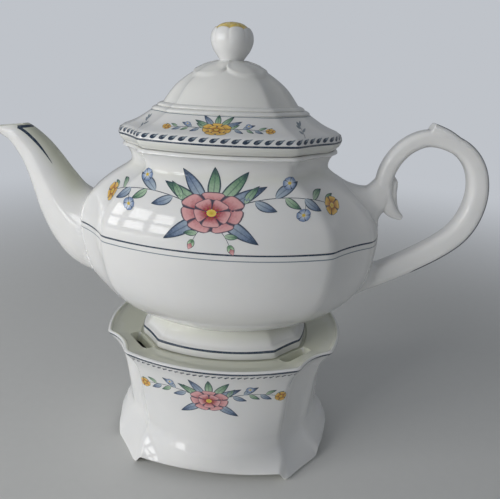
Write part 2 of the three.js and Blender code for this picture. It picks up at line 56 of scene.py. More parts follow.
def curveThrough(rows, count):
    last = len(rows) - 1
    curve = []
    for i in range(count + 1):
        place = last * i / count
        low = min(int(place), last)
        t = place - low
        near = [rows[min(max(low + k, 0), last)] for k in (-1, 0, 1, 2)]
        curve.append(tuple(
            (2 * q - 2 * r + (r - p) / 2 + (s - q) / 2) * t ** 3
            + (-3 * q + 3 * r - (r - p) - (s - q) / 2) * t ** 2
            + (r - p) / 2 * t + q
            for p, q, r, s in zip(*near)
        ))
    return curve


def smooth(x, low=0.0, high=1.0):
    t = min(max((x - low) / (high - low), 0.0), 1.0)
    return t * t * (3 - 2 * t)


def mix(a, b, t):
    return a + (b - a) * t


# A row is (height, half length, half width, end bow, front bow, how oval).
# The outline starts at the middle of the back, so the middle of the front is half way.
def outlineOf(row, plan):
    z, length, width, endBow, frontBow, oval = row
    frontX, endY = length * (1 - plan["cutLength"]), width * (1 - plan["cutWidth"])
    corners = [Vector(c) for c in (
        (frontX, -width), (length, -endY), (length, endY), (frontX, width),
        (-frontX, width), (-length, endY), (-length, -endY), (-frontX, -width),
    )]
    sides = [
        (-plan["hollow"], sideSteps["corner"]), (endBow, sideSteps["end"]),
        (-plan["hollow"], sideSteps["corner"]), (frontBow, sideSteps["front"]),
    ] * 2

    def onSide(k, t):
        a, b = corners[k % 8], corners[(k + 1) % 8]
        way = b - a
        out = Vector((way.y, -way.x)).normalized()
        return a + way * t + out * (4 * sides[k % 8][0] * t * (1 - t))

    def spanOf(k):
        return (corners[(k + 1) % 8] - corners[k % 8]).length

    points = []
    half = sideSteps["front"] // 2
    runs = [(3, half, 2 * half)] + [(k, 0, sides[k % 8][1]) for k in range(4, 11)] + [(11, 0, half)]
    for k, first, last in runs:
        span = spanOf(k)
        for i in range(first, last):
            even = i / sides[k % 8][1]
            t = mix(even, (1 - math.cos(math.pi * even)) / 2, crowding)
            near = min(t, 1 - t) * span
            before = t < 0.5
            other = k - 1 if before else k + 1
            otherSpan = spanOf(other)
            edge = min(plan["edge"], widestEdge * span, widestEdge * otherSpan)
            p = onSide(k, t)
            if near < edge:  # the glazed edge between two faces is soft
                here = onSide(k, edge / span if before else 1 - edge / span)
                there = onSide(other, 1 - edge / otherSpan if before else edge / otherSpan)
                corner = corners[k % 8] if before else corners[(k + 1) % 8]
                u = (1 - near / edge) / 2
                p = here * (1 - u) ** 2 + corner * (2 * u * (1 - u)) + there * u * u
            p = p * mix(1, 1 / math.hypot(p.x / (length + endBow), p.y / (width + frontBow)), oval)
            points.append(Vector((p.x, p.y, z)))
    return points


def outlines(rows, plan):
    return [outlineOf(row, plan) for row in rows]


def raised(rows, height, base=0.0):  # the rows give their height as a share of the piece's
    return [(base + height * share, *rest) for share, *rest in rows]


def inset(rows, wall):  # rows moved inwards, square to their slope
    moved = []
    for i, row in enumerate(rows):
        a, b = rows[max(i - 1, 0)], rows[min(i + 1, len(rows) - 1)]
        run, rise = (b[1] + b[2] - a[1] - a[2]) / 2, b[0] - a[0]
        slope = math.hypot(run, rise)
        inwards = wall * rise / slope
        moved.append((row[0] + wall * run / slope, row[1] - inwards, row[2] - inwards, *row[3:]))
    return moved


def grown(row, by, lift=0.0, z=None):
    return ((row[0] if z is None else z) + lift, row[1] + by, row[2] + by, *row[3:])


def arc(row, radius, first, last, count, base=0.0):  # rows round an edge, angles in degrees
    turns = [math.radians(mix(first, last, i / count)) for i in range(count + 1)]
    return [grown(row, base + radius * math.cos(a), radius * math.sin(a)) for a in turns]


def rowAt(rows, z):
    for a, b in zip(rows, rows[1:]):
        if a[0] <= z <= b[0]:
            return tuple(mix(p, q, (z - a[0]) / (b[0] - a[0])) for p, q in zip(a, b))
    return rows[0] if z < rows[0][0] else rows[-1]


def pole(z):
    return [Vector((0, 0, z))] * (2 * (sideSteps["front"] + sideSteps["end"]) + 4 * sideSteps["corner"])


def blended(a, b, share, z=None):
    return [Vector((mix(p.x, q.x, share), mix(p.y, q.y, share), mix(p.z, q.z, share) if z is None else z))
            for p, q in zip(a, b)]


# Round shapes. shapeAt(radius, height, angle) gives the radius and height that a point takes.
def turnedRings(profile, count=96, shapeAt=None):
    rings = []
    for radius, z in profile:
        ring = []
        for i in range(count):
            angle = -2 * math.pi * i / count
            r, height = shapeAt(radius, z, angle) if shapeAt else (radius, z)
            ring.append(Vector((r * math.sin(angle), r * math.cos(angle), height)))
        rings.append(ring)
    return rings


# Skins: places on a run of rings, by length around from the middle of the front and length up

def measured(rings):
    count = len(rings[0])
    middle = count // 2
    around, up = [], [0.0]
    for ring in rings:
        lengths = [0.0]
        for i in range(count):
            lengths.append(lengths[-1] + (ring[(i + 1) % count] - ring[i]).length)
        around.append([x - lengths[middle] for x in lengths])
    for a, b in zip(rings, rings[1:]):
        up.append(up[-1] + max((b[middle] - a[middle]).length, 1e-6))
    return {"rings": rings, "around": around, "up": up}


def spotOn(skin, s, t, lift=0.0):
    def place(s, t):
        up = skin["up"]
        j = min(max(bisect(up, t) - 1, 0), len(up) - 2)
        spots = []
        for k in (j, j + 1):
            around, ring = skin["around"][k], skin["rings"][k]
            turn = around[-1] - around[0]
            where = s + (turn / 2 if skin.get("back") else 0)
            where = where - turn if where > around[-1] else where + turn if where < around[0] else where
            i = min(max(bisect(around, where) - 1, 0), len(around) - 2)
            share = (where - around[i]) / max(around[i + 1] - around[i], 1e-9)
            spots.append(ring[i].lerp(ring[(i + 1) % len(ring)], share))
        return spots[0].lerp(spots[1], (t - up[j]) / (up[j + 1] - up[j]))

    spot, step = place(s, t), 0.4
    if lift:
        across = place(s + step, t) - place(s - step, t)
        along = place(s, t + step) - place(s, t - step)
        spot = spot + across.cross(along).normalized() * lift
    return spot


def heightOn(skin, z):  # how far up the skin its front reaches height z
    middle = len(skin["rings"][0]) // 2
    for j in range(len(skin["rings"]) - 1):
        a, b = skin["rings"][j][middle].z, skin["rings"][j + 1][middle].z
        if a <= z <= b:
            return mix(skin["up"][j], skin["up"][j + 1], (z - a) / max(b - a, 1e-9))
    return skin["up"][-1]


# Meshes and pieces

def newBmesh():
    bm = bmesh.new()
    bm.loops.layers.uv.new("surface")
    return bm


def sheet(rings, looped=False):  # quads through the rings; looped joins the last to the first
    bm, rows = newBmesh(), rings + rings[:1] if looped else rings
    made = bmesh.ops.create_grid(bm, x_segments=len(rings[0]), y_segments=len(rows) - 1, size=1,
                                 calc_uvs=True)["verts"]
    for vert, point in zip(made, (p for ring in rows for p in ring + ring[:1])):
        vert.co = point * mm
    bmesh.ops.remove_doubles(bm, verts=made, dist=1e-7)
    return bm


def capped(rings):
    ends = [[sum(ring, Vector()) / len(ring)] * len(ring) for ring in (rings[0], rings[-1])]
    return [ends[0]] + rings + [ends[1]]


def objectFrom(bm, name):
    mesh = bpy.data.meshes.new(name)
    bm.to_mesh(mesh)
    bm.free()
    made = bpy.data.objects.new(name, mesh)
    bpy.context.scene.collection.objects.link(made)
    return made


def crease(piece, degrees):
    piece.data.set_sharp_from_angle(angle=math.radians(degrees))


def pieceFrom(bm, name, body, materials, stands=None, sharp=0):
    piece = objectFrom(bm, name)
    for material in materials:
        piece.data.materials.append(material)
    piece.data.shade_smooth()
    if sharp:
        crease(piece, sharp)
    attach(piece, body)
    if stands:
        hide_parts(stands)
    return piece


def china(bm, name, body, stands, sharp=0):
    return pieceFrom(bm, name, body, [white], stands, sharp)


def moveInto(bm, part):
    bm.from_mesh(part.data)
    bpy.data.objects.remove(part)


def settled(piece):  # applies the piece's modifiers
    graph = bpy.context.evaluated_depsgraph_get()
    old, piece.data = piece.data, bpy.data.meshes.new_from_object(piece.evaluated_get(graph))
    piece.modifiers.clear()
    bpy.data.meshes.remove(old)


def cut(piece, *cutters):
    for cutter in cutters:
        boolean = piece.modifiers.new("cut", "BOOLEAN")
        boolean.operation, boolean.solver, boolean.object = "DIFFERENCE", "EXACT", cutter
    settled(piece)
    for cutter in cutters:
        bpy.data.objects.remove(cutter)


def drill(bm, at, width, depth, sides=32, turn=Matrix.Identity(4)):  # adds a round cutter
    bmesh.ops.create_cone(bm, cap_ends=True, segments=sides, radius1=width / 2 * mm, radius2=width / 2 * mm,
                          depth=depth * mm, matrix=Matrix.Translation(Vector(at) * mm) @ turn)


def tint(piece, poolAndShade=None, gilded=None):  # rules for how much of a colour each point takes
    for name, rule in (("poolAndShade", poolAndShade), ("gilded", gilded)):
        if rule:
            values = piece.data.attributes.new(name, "FLOAT", "POINT").data
            for vert, value in zip(piece.data.vertices, values):
                value.value = rule(vert.co / mm, vert.normal)


def facesInwards(normal, p):
    return normal.x * p.x + normal.y * p.y < 0


def treeOf(piece):
    return BVHTree.FromPolygons([v.co.copy() for v in piece.data.vertices],
                                [list(f.vertices) for f in piece.data.polygons])


# Materials. Even values stand on the shader itself.

class Look:
    def __init__(self, name):
        self.material = bpy.data.materials.new(name)
        self.material.use_nodes = True
        self.nodes, self.links = self.material.node_tree.nodes, self.material.node_tree.links
        self.place = self.nodes.new("ShaderNodeTexCoord").outputs["Object"]

    def put(self, socket, value):
        if isinstance(value, bpy.types.NodeSocket):
            self.links.new(value, socket)
        else:
            socket.default_value = (*value, 1) if socket.type == "RGBA" else value

    def node(self, kind, values, **settings):
        node = self.nodes.new("ShaderNode" + kind)
        for name, setting in settings.items():
            setattr(node, name, setting)
        for name, value in values.items():
            self.put(node.inputs[name], value)
        return node

    def shade(self, values):
        for name, value in values.items():
            self.put(self.nodes["Principled BSDF"].inputs[name], value)

    def calc(self, operation, *values):
        return self.node("Math", dict(enumerate(values)), operation=operation).outputs[0]

    def mix(self, share, a, b):
        return self.node("Mix", {"Factor": share, "A": a, "B": b}, data_type="RGBA").outputs["Result"]

    def noise(self, scale, detail=2.0):
        return self.node("TexNoise", {"Scale": scale, "Detail": detail, "Vector": self.place}).outputs["Fac"]

    def ease(self, value, low, high, toLow=0.0, toHigh=1.0):
        return self.node("MapRange", {
            "Value": value, "From Min": low, "From Max": high, "To Min": toLow, "To Max": toHigh,
        }, interpolation_type="SMOOTHSTEP").outputs["Result"]

    def attribute(self, name):
        return self.node("Attribute", {}, attribute_name=name).outputs["Fac"]

    def bump(self, height, distance):
        self.shade({"Normal": self.node("Bump", {"Height": height, "Distance": distance}).outputs["Normal"]})


glaze = {
    "body": (0.83, 0.825, 0.81),       # white porcelain under clear glaze
    "thin": (0.80, 0.80, 0.79),        # where the glaze lies a little thinner
    "poolAndShade": (0.68, 0.69, 0.56),      # greenish: painted shade and painted light coming through the porcelain, in hollows, insides and on upper faces, and the glaze where it pools
    "gold": ((0.70, 0.50, 0.10), (0.80, 0.66, 0.27)),
    "cloudSize": 35,                   # sizes are in waves per metre
    "brushSize": 500,
    "roughness": 0.07,
    "refraction": 1.52,
    "coat": 0.35,
    "coatRoughness": 0.03,
    "waveSize": 28,
    "wave": 0.00022,
    "peelSize": 420,
    "peel": 0.000012,
    "glow": 0.12,
    "glowDepth": 0.002,
    "ink": (0.030, 0.050, 0.085),      # slate-blue line colour
    "inkGrey": (0.22, 0.27, 0.31),
}


def glazed(look, colour):
    waves, peel = look.noise(glaze["waveSize"], 1.0), look.noise(glaze["peelSize"])
    look.bump(look.calc("ADD", look.calc("MULTIPLY", waves, glaze["wave"]),
                       look.calc("MULTIPLY", peel, glaze["peel"])), 1.0)
    look.shade({
        "Base Color": colour, "IOR": glaze["refraction"],
        "Roughness": look.ease(peel, 0.3, 0.7, glaze["roughness"] * 0.7, glaze["roughness"] * 1.5),
        "Coat Weight": glaze["coat"], "Coat Roughness": glaze["coatRoughness"],
    })
    return look.material


def porcelain(name):
    look = Look(name)
    cloud = look.ease(look.noise(glaze["cloudSize"], 3.0), 0.35, 0.65)
    brush = look.ease(look.noise(glaze["brushSize"], 3.0), 0.3, 0.7)
    colour = look.mix(cloud, glaze["body"], glaze["thin"])
    # painted shade, together with glaze pooling, as strongly as each point's value asks
    colour = look.mix(look.attribute("poolAndShade"), colour, glaze["poolAndShade"])
    colour = look.mix(look.attribute("gilded"), colour, look.mix(brush, *glaze["gold"]))
    look.shade({"Subsurface Weight": glaze["glow"], "Subsurface Scale": glaze["glowDepth"],
                "Subsurface Radius": (1.0, 0.9, 0.7)})
    return glazed(look, colour)


# A brush stroke's own colours run from its root to its tip, inside an ink edge.
def painted(name, root, tip, ink=0.92, vein=0.0, darkTip=0.0):
    look = Look(name)
    place = look.node("UVMap", {}, uv_map="surface").outputs["UV"]
    split = look.node("SeparateXYZ", {"Vector": place})
    u, v = split.outputs["X"], split.outputs["Y"]
    drift = look.calc("MULTIPLY", look.calc("SUBTRACT", look.noise(900, 3.0), 0.5), 0.5)
    colour = look.mix(look.ease(look.calc("ADD", v, drift), 0.05, 0.9), root, tip)
    off = look.calc("ABSOLUTE", look.calc("SUBTRACT", look.calc("MULTIPLY", u, 2.0), 1.0))
    if vein:
        rib = look.calc("MULTIPLY", look.ease(off, 0.03, 0.14, 1.0, 0.0), vein)
        colour = look.mix(rib, colour, glaze["ink"])
    if darkTip:
        late = look.ease(look.calc("ADD", v, look.calc("MULTIPLY", drift, 0.6)), 0.62, 0.97)
        colour = look.mix(look.calc("MULTIPLY", late, darkTip), colour, glaze["ink"])
    edge = look.calc("MAXIMUM", look.ease(off, 0.68, 0.86), look.ease(v, 0.91, 0.975))
    return glazed(look, look.mix(look.calc("MULTIPLY", edge, ink), colour, glaze["ink"]))


def inkLine(name, tone):
    look = Look(name)
    pale = tuple(mix(c, 0.45, 0.22) for c in tone)
    return glazed(look, look.mix(look.ease(look.noise(650, 3.0), 0.45, 0.8), tone, pale))


white = porcelain("glazedPorcelain")
paints = {
    "ink": inkLine("slateLine", glaze["ink"]),
    "greyInk": inkLine("greyLine", glaze["inkGrey"]),
    "rose": painted("rosePetal", (0.36, 0.030, 0.055), (0.74, 0.40, 0.40)),
    "yellow": painted("yellowPetal", (0.46, 0.16, 0.02), (0.85, 0.55, 0.13)),
    "blue": painted("blueLeaf", (0.42, 0.50, 0.58), (0.13, 0.19, 0.31), vein=0.5, darkTip=0.9),
    "green": painted("greenLeaf", (0.45, 0.60, 0.43), (0.12, 0.26, 0.15), vein=0.5, darkTip=0.85),
    "sepal": painted("paleSepal", (0.16, 0.31, 0.17), (0.46, 0.63, 0.42)),
    "bluePetal": painted("bluePetal", (0.60, 0.66, 0.74), (0.20, 0.29, 0.48)),
    "pollen": painted("pollen", (0.62, 0.42, 0.05), (0.80, 0.60, 0.12), ink=0.0),
    "stamen": painted("stamen", (0.26, 0.12, 0.03), (0.34, 0.18, 0.05), ink=0.0),
}
paintOrder = list(paints)
print("materials made")

# Warmer

warmerPlan = {"cutLength": 0.264, "cutWidth": 0.42, "hollow": 3, "edge": 2}
footPlan = {"cutLength": 0.285, "cutWidth": 0.44, "hollow": 0.5, "edge": 1.2}
warmer = {
    "height": 72.5, "wall": 4, "lip": 1.1, "deckFall": 3.8, "wellDepth": 1, "wellPlay": 1.2, "ledge": 6.5,
    "deckThick": 4.5, "straightBelow": 30, "straightHollow": 0.3,
    "skirtGap": 5, "cornerFoot": 1.5, "skirtCurl": 4.2, "skirtFade": 17,
    "floorUnder": 9, "floorTop": 13, "seatInner": 19.5, "seatWall": 2.5, "seatHeight": 3,
    "airHoles": 6, "airHole": 9, "airCircle": 31,
    "ventLength": 20, "ventShift": 1.5, "ventOut": 8, "ventIn": -0.4, "ventRounding": 3, "ventFlare": 1.12,
    "ventSlopeIn": 3, "ventSlopeOut": 1.5, "ventSpanX": (28, 51), "ventSpanY": (18, 37), "ventReach": 9.6,
    # how strongly painted shade, together with glaze pooling, lies on faces turned inwards and on the deck
    "insidePoolAndShade": 0.7, "deckPoolAndShade": 0.85,
}
warmerFlare = raised([
    (0, 61.5, 48.8, 4, 4.2, 0), (0.11, 57.4, 43.4, 9, 10.6, 0), (0.234, 52.7, 39, 10.6, 14.6, 0),
], warmer["height"])
warmerWaist = raised([
    (0.234, 52.7, 39, 10.6, 14.6, 0), (0.3, 51.9, 38.2, 7.4, 12.6, 0), (0.372, 52.3, 38.4, 5.8, 11.8, 0),
    (0.552, 53.8, 39, 4.6, 10.4, 0), (0.745, 55.4, 40.4, 4.2, 10, 0), (0.883, 58.2, 42.6, 4.5, 10.3, 0),
    (1, 63.8, 46.2, 5, 10.7, 0),
], warmer["height"])
foot = {
    "length": 45.6, "width": 32.7, "endBow": 2.6, "frontBow": 6.3,
    "edge": 0.8, "band": 5.2, "shoulder": 1.4, "drawnIn": 8.5, "height": 13, "wall": 5,
}
rimTop = warmer["height"] + warmer["lip"]
deckEdge = rimTop - warmer["deckFall"]
ledgeTop = deckEdge - warmer["wellDepth"]
deckUnder = ledgeTop - warmer["deckThick"]
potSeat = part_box("pot_foot")[0].z / mm
cutLength, cutWidth = foot["length"] * footPlan["cutLength"], foot["width"] * footPlan["cutWidth"]
ventWay = Vector((cutWidth, cutLength)).normalized()
ventPlace = Vector((foot["length"] - cutLength / 2, foot["width"] - cutWidth / 2))


def footRing(by, z):
    row = (z, foot["length"] + by, foot["width"] + by, foot["endBow"], foot["frontBow"], 0)
    return outlineOf(row, footPlan)


def skirted(ring):  # lifts the lower edge between the corner feet
    _, length, width, *_ = warmerFlare[0]
    spanX, spanY = length * (1 - warmerPlan["cutLength"]), width * (1 - warmerPlan["cutWidth"])
    lifted = []
    for p in ring:
        fade = max(1 - p.z / warmer["skirtFade"], 0) ** 2
        past = max(spanX - abs(p.x), spanY - abs(p.y)) - warmer["cornerFoot"]
        lifted.append(p + Vector((0, 0, warmer["skirtGap"] * fade * smooth(past, 0, warmer["skirtCurl"]))))
    return lifted


def ventCutter(signX, signY):
    w, bm = warmer, newBmesh()
    low, high = deckUnder - 2, ledgeTop + 0.4
    deep = w["ventOut"] + w["ventIn"]
    middle = Vector(((w["ventOut"] - w["ventIn"]) / 2, -signX * signY * w["ventShift"], (high + low) / 2))
    bmesh.ops.create_cube(bm, size=1, matrix=Matrix.Translation(middle) @ Matrix.Diagonal(
        (deep, w["ventLength"], high - low, 1)))
    upright = [e for e in bm.edges if abs((e.verts[0].co - e.verts[1].co).z) > 1]
    bmesh.ops.bevel(bm, geom=upright, offset=w["ventRounding"], segments=6, profile=0.5, affect="EDGES",
                    material=-1)
    for v in bm.verts:
        if v.co.z < high - 1:  # the walls of the slot lean in
            v.co.x += mix(w["ventSlopeIn"], -w["ventSlopeOut"], (v.co.x + w["ventIn"]) / deep)
    top = max(bm.faces, key=lambda f: f.calc_center_median().z)
    middle = top.calc_center_median()
    lips = list(bmesh.ops.extrude_discrete_faces(bm, faces=[top])["faces"][0].verts)
    for v in lips:  # the slot widens where the glaze rounds its edge
        off = v.co - middle
        v.co = middle + Vector((off.x * w["ventFlare"] ** 2, off.y * w["ventFlare"], 5))
    corner = Matrix.Translation((signX * ventPlace.x, signY * ventPlace.y, 0))
    turn = Matrix.Rotation(math.atan2(signY * ventWay.y, signX * ventWay.x), 4, "Z")
    bmesh.ops.transform(bm, verts=bm.verts, matrix=Matrix.Scale(mm, 4) @ corner @ turn)
    return bm


def makeWarmer():
    w = warmer
    outside = curveThrough(warmerFlare, 16) + curveThrough(warmerWaist, 40)[1:]
    inside = inset(outside, w["wall"])
    rim, half = outside[-1], w["wall"] / 2

    def ring(row):  # the cut corners flatten towards the feet
        hollow = mix(w["straightHollow"], warmerPlan["hollow"], smooth(row[0], 2, w["straightBelow"]))
        return skirted(outlineOf(row, dict(warmerPlan, hollow=hollow)))

    def wallRing(z, by=0.0):
        return ring(grown(rowAt(inside, z), by, z=z))

    def disc(radius, z):
        return outlineOf((z, radius, radius, 0, 0, 1), warmerPlan)

    under, top = w["floorUnder"], w["floorTop"]
    sole = grown(rowAt(outside, half), -half)
    rings = [pole(under)] + [blended(pole(under), wallRing(under), share) for share in (0.3, 0.6, 0.85, 0.96)]
    rings += [wallRing(z) for z in (under - 1, under - 3, under - 5, half + 1)]
    rings += [ring(row) for row in arc(sole, half, -180, 0, 8)]
    face = [ring(row) for row in outside if row[0] > half + 0.3]
    face += [ring(row) for row in arc(rim, w["lip"], 0, 180, 8, base=-w["lip"])[1:]]
    lipEnd, wellEdge = face[-1], footRing(w["wellPlay"] + 0.7, deckEdge)
    rings += face
    rings += [blended(lipEnd, wellEdge, share, mix(w["height"] - 0.3, deckEdge, share ** 0.8))
              for share in (0.06, 0.15, 0.3, 0.45, 0.6, 0.75, 0.9, 1)]
    rings += [footRing(w["wellPlay"] + by, z) for by, z in (
        (0.35, deckEdge - 0.1), (0.08, deckEdge - 0.4), (-0.1, ledgeTop + 0.15), (-0.7, ledgeTop))]
    rings += [footRing(by - w["ledge"], z) for by, z in (
        (3, ledgeTop), (0.8, ledgeTop), (0.25, ledgeTop - 0.25), (0, ledgeTop - 0.8), (0, deckUnder + 0.8),
        (0.25, deckUnder + 0.25), (0.8, deckUnder))]
    opening = rings[-1]
    rings += [blended(opening, wallRing(deckUnder, -3), share) for share in (0.5, 1)]
    rings += [wallRing(deckUnder - 0.4, -1.5), wallRing(deckUnder - 1.2, -0.5)]
    rings += [wallRing(mix(deckUnder - 3, top + 3, i / 14)) for i in range(15)]
    rings += [wallRing(top + 1, -0.6), wallRing(top + 0.2, -2), wallRing(top, -4)]
    inner, outer, crest = w["seatInner"], w["seatInner"] + w["seatWall"], top + w["seatHeight"]
    rings += [disc(r, z) for r, z in (
        (outer + 1, top), (outer + 0.2, top + 0.3), (outer, top + 1), (outer, crest - 0.5),
        (outer - 0.4, crest), (inner + 0.4, crest), (inner, crest - 0.5), (inner, top + 0.4),
        (inner - 0.4, top))]
    seat = rings[-1]
    rings += [blended(seat, pole(top), share) for share in (0.4, 0.75, 1)]
    piece = china(sheet(rings), "warmer_shell", "warmer", "warmer_body")

    holes = newBmesh()
    for signX in (-1, 1):
        for signY in (-1, 1):
            moveInto(holes, objectFrom(ventCutter(signX, signY), "vent"))
    for i in range(w["airHoles"]):
        angle = 2 * math.pi * (i + 0.5) / w["airHoles"]
        at = (w["airCircle"] * math.cos(angle), w["airCircle"] * math.sin(angle), (under + top) / 2)
        drill(holes, at, w["airHole"], top - under + 2)
    cut(piece, objectFrom(holes, "warmer_holes"))
    crease(piece, 40)

    # painted shade, together with glaze pooling: full in the vent pockets, on the deck below the rim and on
    # faces turned inwards
    def poolAndShade(p, normal):
        out = Vector((abs(p.x), abs(p.y))).dot(ventWay) - ventPlace.dot(ventWay)
        (lowX, highX), (lowY, highY) = w["ventSpanX"], w["ventSpanY"]
        onVent = lowX < abs(p.x) < highX and lowY < abs(p.y) < highY and out < w["ventReach"]
        if onVent and deckUnder - 1 < p.z < ledgeTop:
            return 1.0
        onDeck = math.hypot(p.x / 62, p.y / 55) < 1 and p.z > deckUnder - 1 and normal.z > 0.3
        return max(w["deckPoolAndShade"] * smooth(rimTop - p.z, 0.4, 2.2) if onDeck else 0.0,
                   w["insidePoolAndShade"] if facesInwards(normal, p) else 0.0)

    tint(piece, poolAndShade)
    return measured(face)


warmerSkin = makeWarmer()
print("warmer made")

# Pot

potPlan = {"cutLength": 0.27, "cutWidth": 0.55, "hollow": 1.5, "edge": 3.2}
pot = {
    # painted shade, together with glaze pooling, inside the pot and in a band round the neck
    "height": 110.2, "wall": 3.8, "rim": 1.6, "insidePoolAndShade": 0.35, "neckPoolAndShade": 0.3, "neckAt": 0.9,
    "rootDepth": 1.2,  # how far the spout and the handle reach under the pot's skin
    "strainerHole": 5, "strainerPitch": 8, "strainerX": -76, "strainerZ": 0.5,
}
potBelly = [(foot["height"], 40, 26, 3, 5, 1)] + raised([
    (0.159, 52, 30.5, 4.5, 6.5, 1), (0.227, 63.5, 35, 5, 9.2, 0.8), (0.336, 73.5, 39, 4.8, 12, 0.35),
    (0.472, 78, 40.2, 4.6, 13.2, 0), (0.599, 79, 40.4, 4.4, 13.4, 0), (0.69, 76.3, 39.8, 4.4, 12.8, 0),
    (0.771, 69.4, 38, 4.4, 11.3, 0), (0.835, 60.8, 35.8, 4.4, 9.6, 0), (0.88, 52.8, 34, 4.4, 8.4, 0),
], pot["height"])
potNeck = raised([
    (0.88, 52.8, 34, 4.4, 8.4, 0), (0.911, 49, 33.2, 4.4, 7.8, 0), (0.953, 49.4, 34, 4.4, 7.8, 0),
    (1, 52.8, 37, 4.6, 8, 0),
], pot["height"])
potOutside = [grown(row, 0, potSeat) for row in curveThrough(potBelly, 46) + curveThrough(potNeck, 18)[1:]]
potInside = inset(potOutside, pot["wall"])


def potHeight(share):
    return potSeat + share * pot["height"]


def potBlank():  # a closed solid just under the pot's skin
    rings = [outlineOf(row, potPlan)[::4] for row in inset(potOutside, pot["rootDepth"])[::4]]
    return objectFrom(sheet(capped(rings)), "pot_blank")


def makePot():
    rim, wall, edge = potOutside[-1], pot["wall"], pot["rim"]
    roll = grown(rim, 0, -edge)
    low = outlineOf(potOutside[0], potPlan)
    rings = [blended(pole(low[0].z), low, share) for share in (0, 0.4, 0.75, 0.93)]
    face = outlines([row for row in potOutside if row[0] < rim[0] - edge - 0.2], potPlan)
    face += outlines(arc(roll, edge, 0, 90, 5, base=-edge), potPlan)
    rings += face + outlines(arc(roll, edge, 90, 180, 5, base=edge - wall), potPlan)
    inner = outlines([row for row in potInside if row[0] < rim[0] - edge - 0.6], potPlan)
    rings += inner[::-1] + [blended(inner[0], pole(inner[0][0].z), share) for share in (0.1, 0.4, 0.7, 1)]
    piece = china(sheet(rings), "pot_shell", "pot", "pot_body")
    holes, pitch = newBmesh(), pot["strainerPitch"]
    for row in (-1.5, -0.5, 0.5, 1.5):
        for column in ((-0.5, 0.5) if abs(row) > 1 else (-1, 0, 1)):
            at = (pot["strainerX"], column * pitch, potHeight(pot["strainerZ"]) + row * pitch)
            drill(holes, at, pot["strainerHole"], 6 * wall, 24, Matrix.Rotation(math.pi / 2, 4, "Y"))
    cut(piece, objectFrom(holes, "strainer_holes"))
    crease(piece, 40)

    # painted shade, together with glaze pooling, on faces turned inwards and round the neck
    def poolAndShade(p, normal):
        neck = pot["neckPoolAndShade"] * max(1 - abs(p.z - potHeight(pot["neckAt"])) / 4, 0)
        return pot["insidePoolAndShade"] if facesInwards(normal, p) else neck

    tint(piece, poolAndShade)
    return measured(face)


potSkin = makePot()
potTree = BVHTree.FromBMesh(sheet(capped(potSkin["rings"])))


def makeFoot():
    top, band, shoulder, wall = foot["height"] + 0.7, foot["band"], foot["shoulder"], foot["wall"]
    outside = [
        (0, -foot["edge"]), (0.1, -0.45), (0.35, -0.12), (foot["edge"], 0), (2.2, 0), (3.8, 0),
        (band - 0.4, 0), (band, -0.15), (band + 0.35, -0.6), (band + 0.7, -shoulder)]
    for i in range(10):
        drawnIn = mix(shoulder + 0.3, foot["drawnIn"] + 0.6, smooth(i / 9, -0.35, 1.35))
        outside.append((mix(band + 0.9, top, i / 9), -drawnIn))
    inside = [(top, -foot["drawnIn"] - wall), (band, -wall - shoulder), (1.5, -wall),
              (0.4, -wall + 0.15), (0, -wall + 0.8), (0, -3)]
    rings = [footRing(by, potSeat + z) for z, by in outside + inside]
    piece = china(sheet(rings, looped=True), "foot_ring", "pot", "pot_foot", 50)
    # painted shade, together with glaze pooling, on the drawn-in part of the foot under the belly
    tint(piece, lambda p, normal: 0.5 * smooth(p.z - potSeat, 6, 12))
    return measured(rings[:len(outside)])


footSkin = makeFoot()
print("pot and foot made")

# Spout and handle: bars bent in the XZ plane, with rounded oblong sections.
# A section is (x, height as a share of the pot's, half height, half width).

def onPot(sections):
    return [(x, potHeight(share), high, wide) for x, share, high, wide in sections]


def bentBar(sections, count, sides, powers):
    stations = curveThrough(sections, count)
    rings = []
    for i, (x, z, high, wide) in enumerate(stations):
        before, after = stations[max(i - 1, 0)], stations[min(i + 1, count)]
        way = Vector((after[0] - before[0], after[1] - before[1])).normalized()
        ring = []
        for k in range(sides):
            angle = 2 * math.pi * k / sides
            across, upright = math.cos(angle), math.sin(angle)
            side = math.copysign(abs(across) ** powers[0], across) * wide
            up = math.copysign(abs(upright) ** powers[1], upright) * high
            ring.append(Vector((x - way.y * up, side, z + way.x * up)))
        rings.append(ring)
    return rings


def remade(piece, voxel, smoothing):  # one even skin over joined or cut solids
    remesh = piece.modifiers.new("skin", "REMESH")
    remesh.mode, remesh.voxel_size = "VOXEL", voxel * mm
    even = piece.modifiers.new("even", "SMOOTH")
    even.factor, even.iterations = 0.5, smoothing
    settled(piece)


# The glaze fills the corner where a piece leaves the pot. A root is its middle on the pot's
# skin, its half height and half width, and how much of its middle stays as it is.
def flared(piece, radius, roots):
    for vert in piece.data.vertices:
        spot, normal, _, _ = potTree.find_nearest(vert.co, radius * mm)
        if spot is None:
            continue
        middle, high, wide, still = min(roots, key=lambda root: (vert.co / mm - root[0]).length)
        away = vert.co / mm - middle
        away -= normal * away.dot(normal)
        share = math.hypot(away.y / wide, away.xz.length / high)
        out = max((vert.co - spot).dot(normal), 0) / mm
        if out < radius and away.length > 0.01:
            push = radius - math.sqrt(radius ** 2 - (radius - out) ** 2)
            vert.co += away.normalized() * push * smooth(share, still, 0.98) * mm


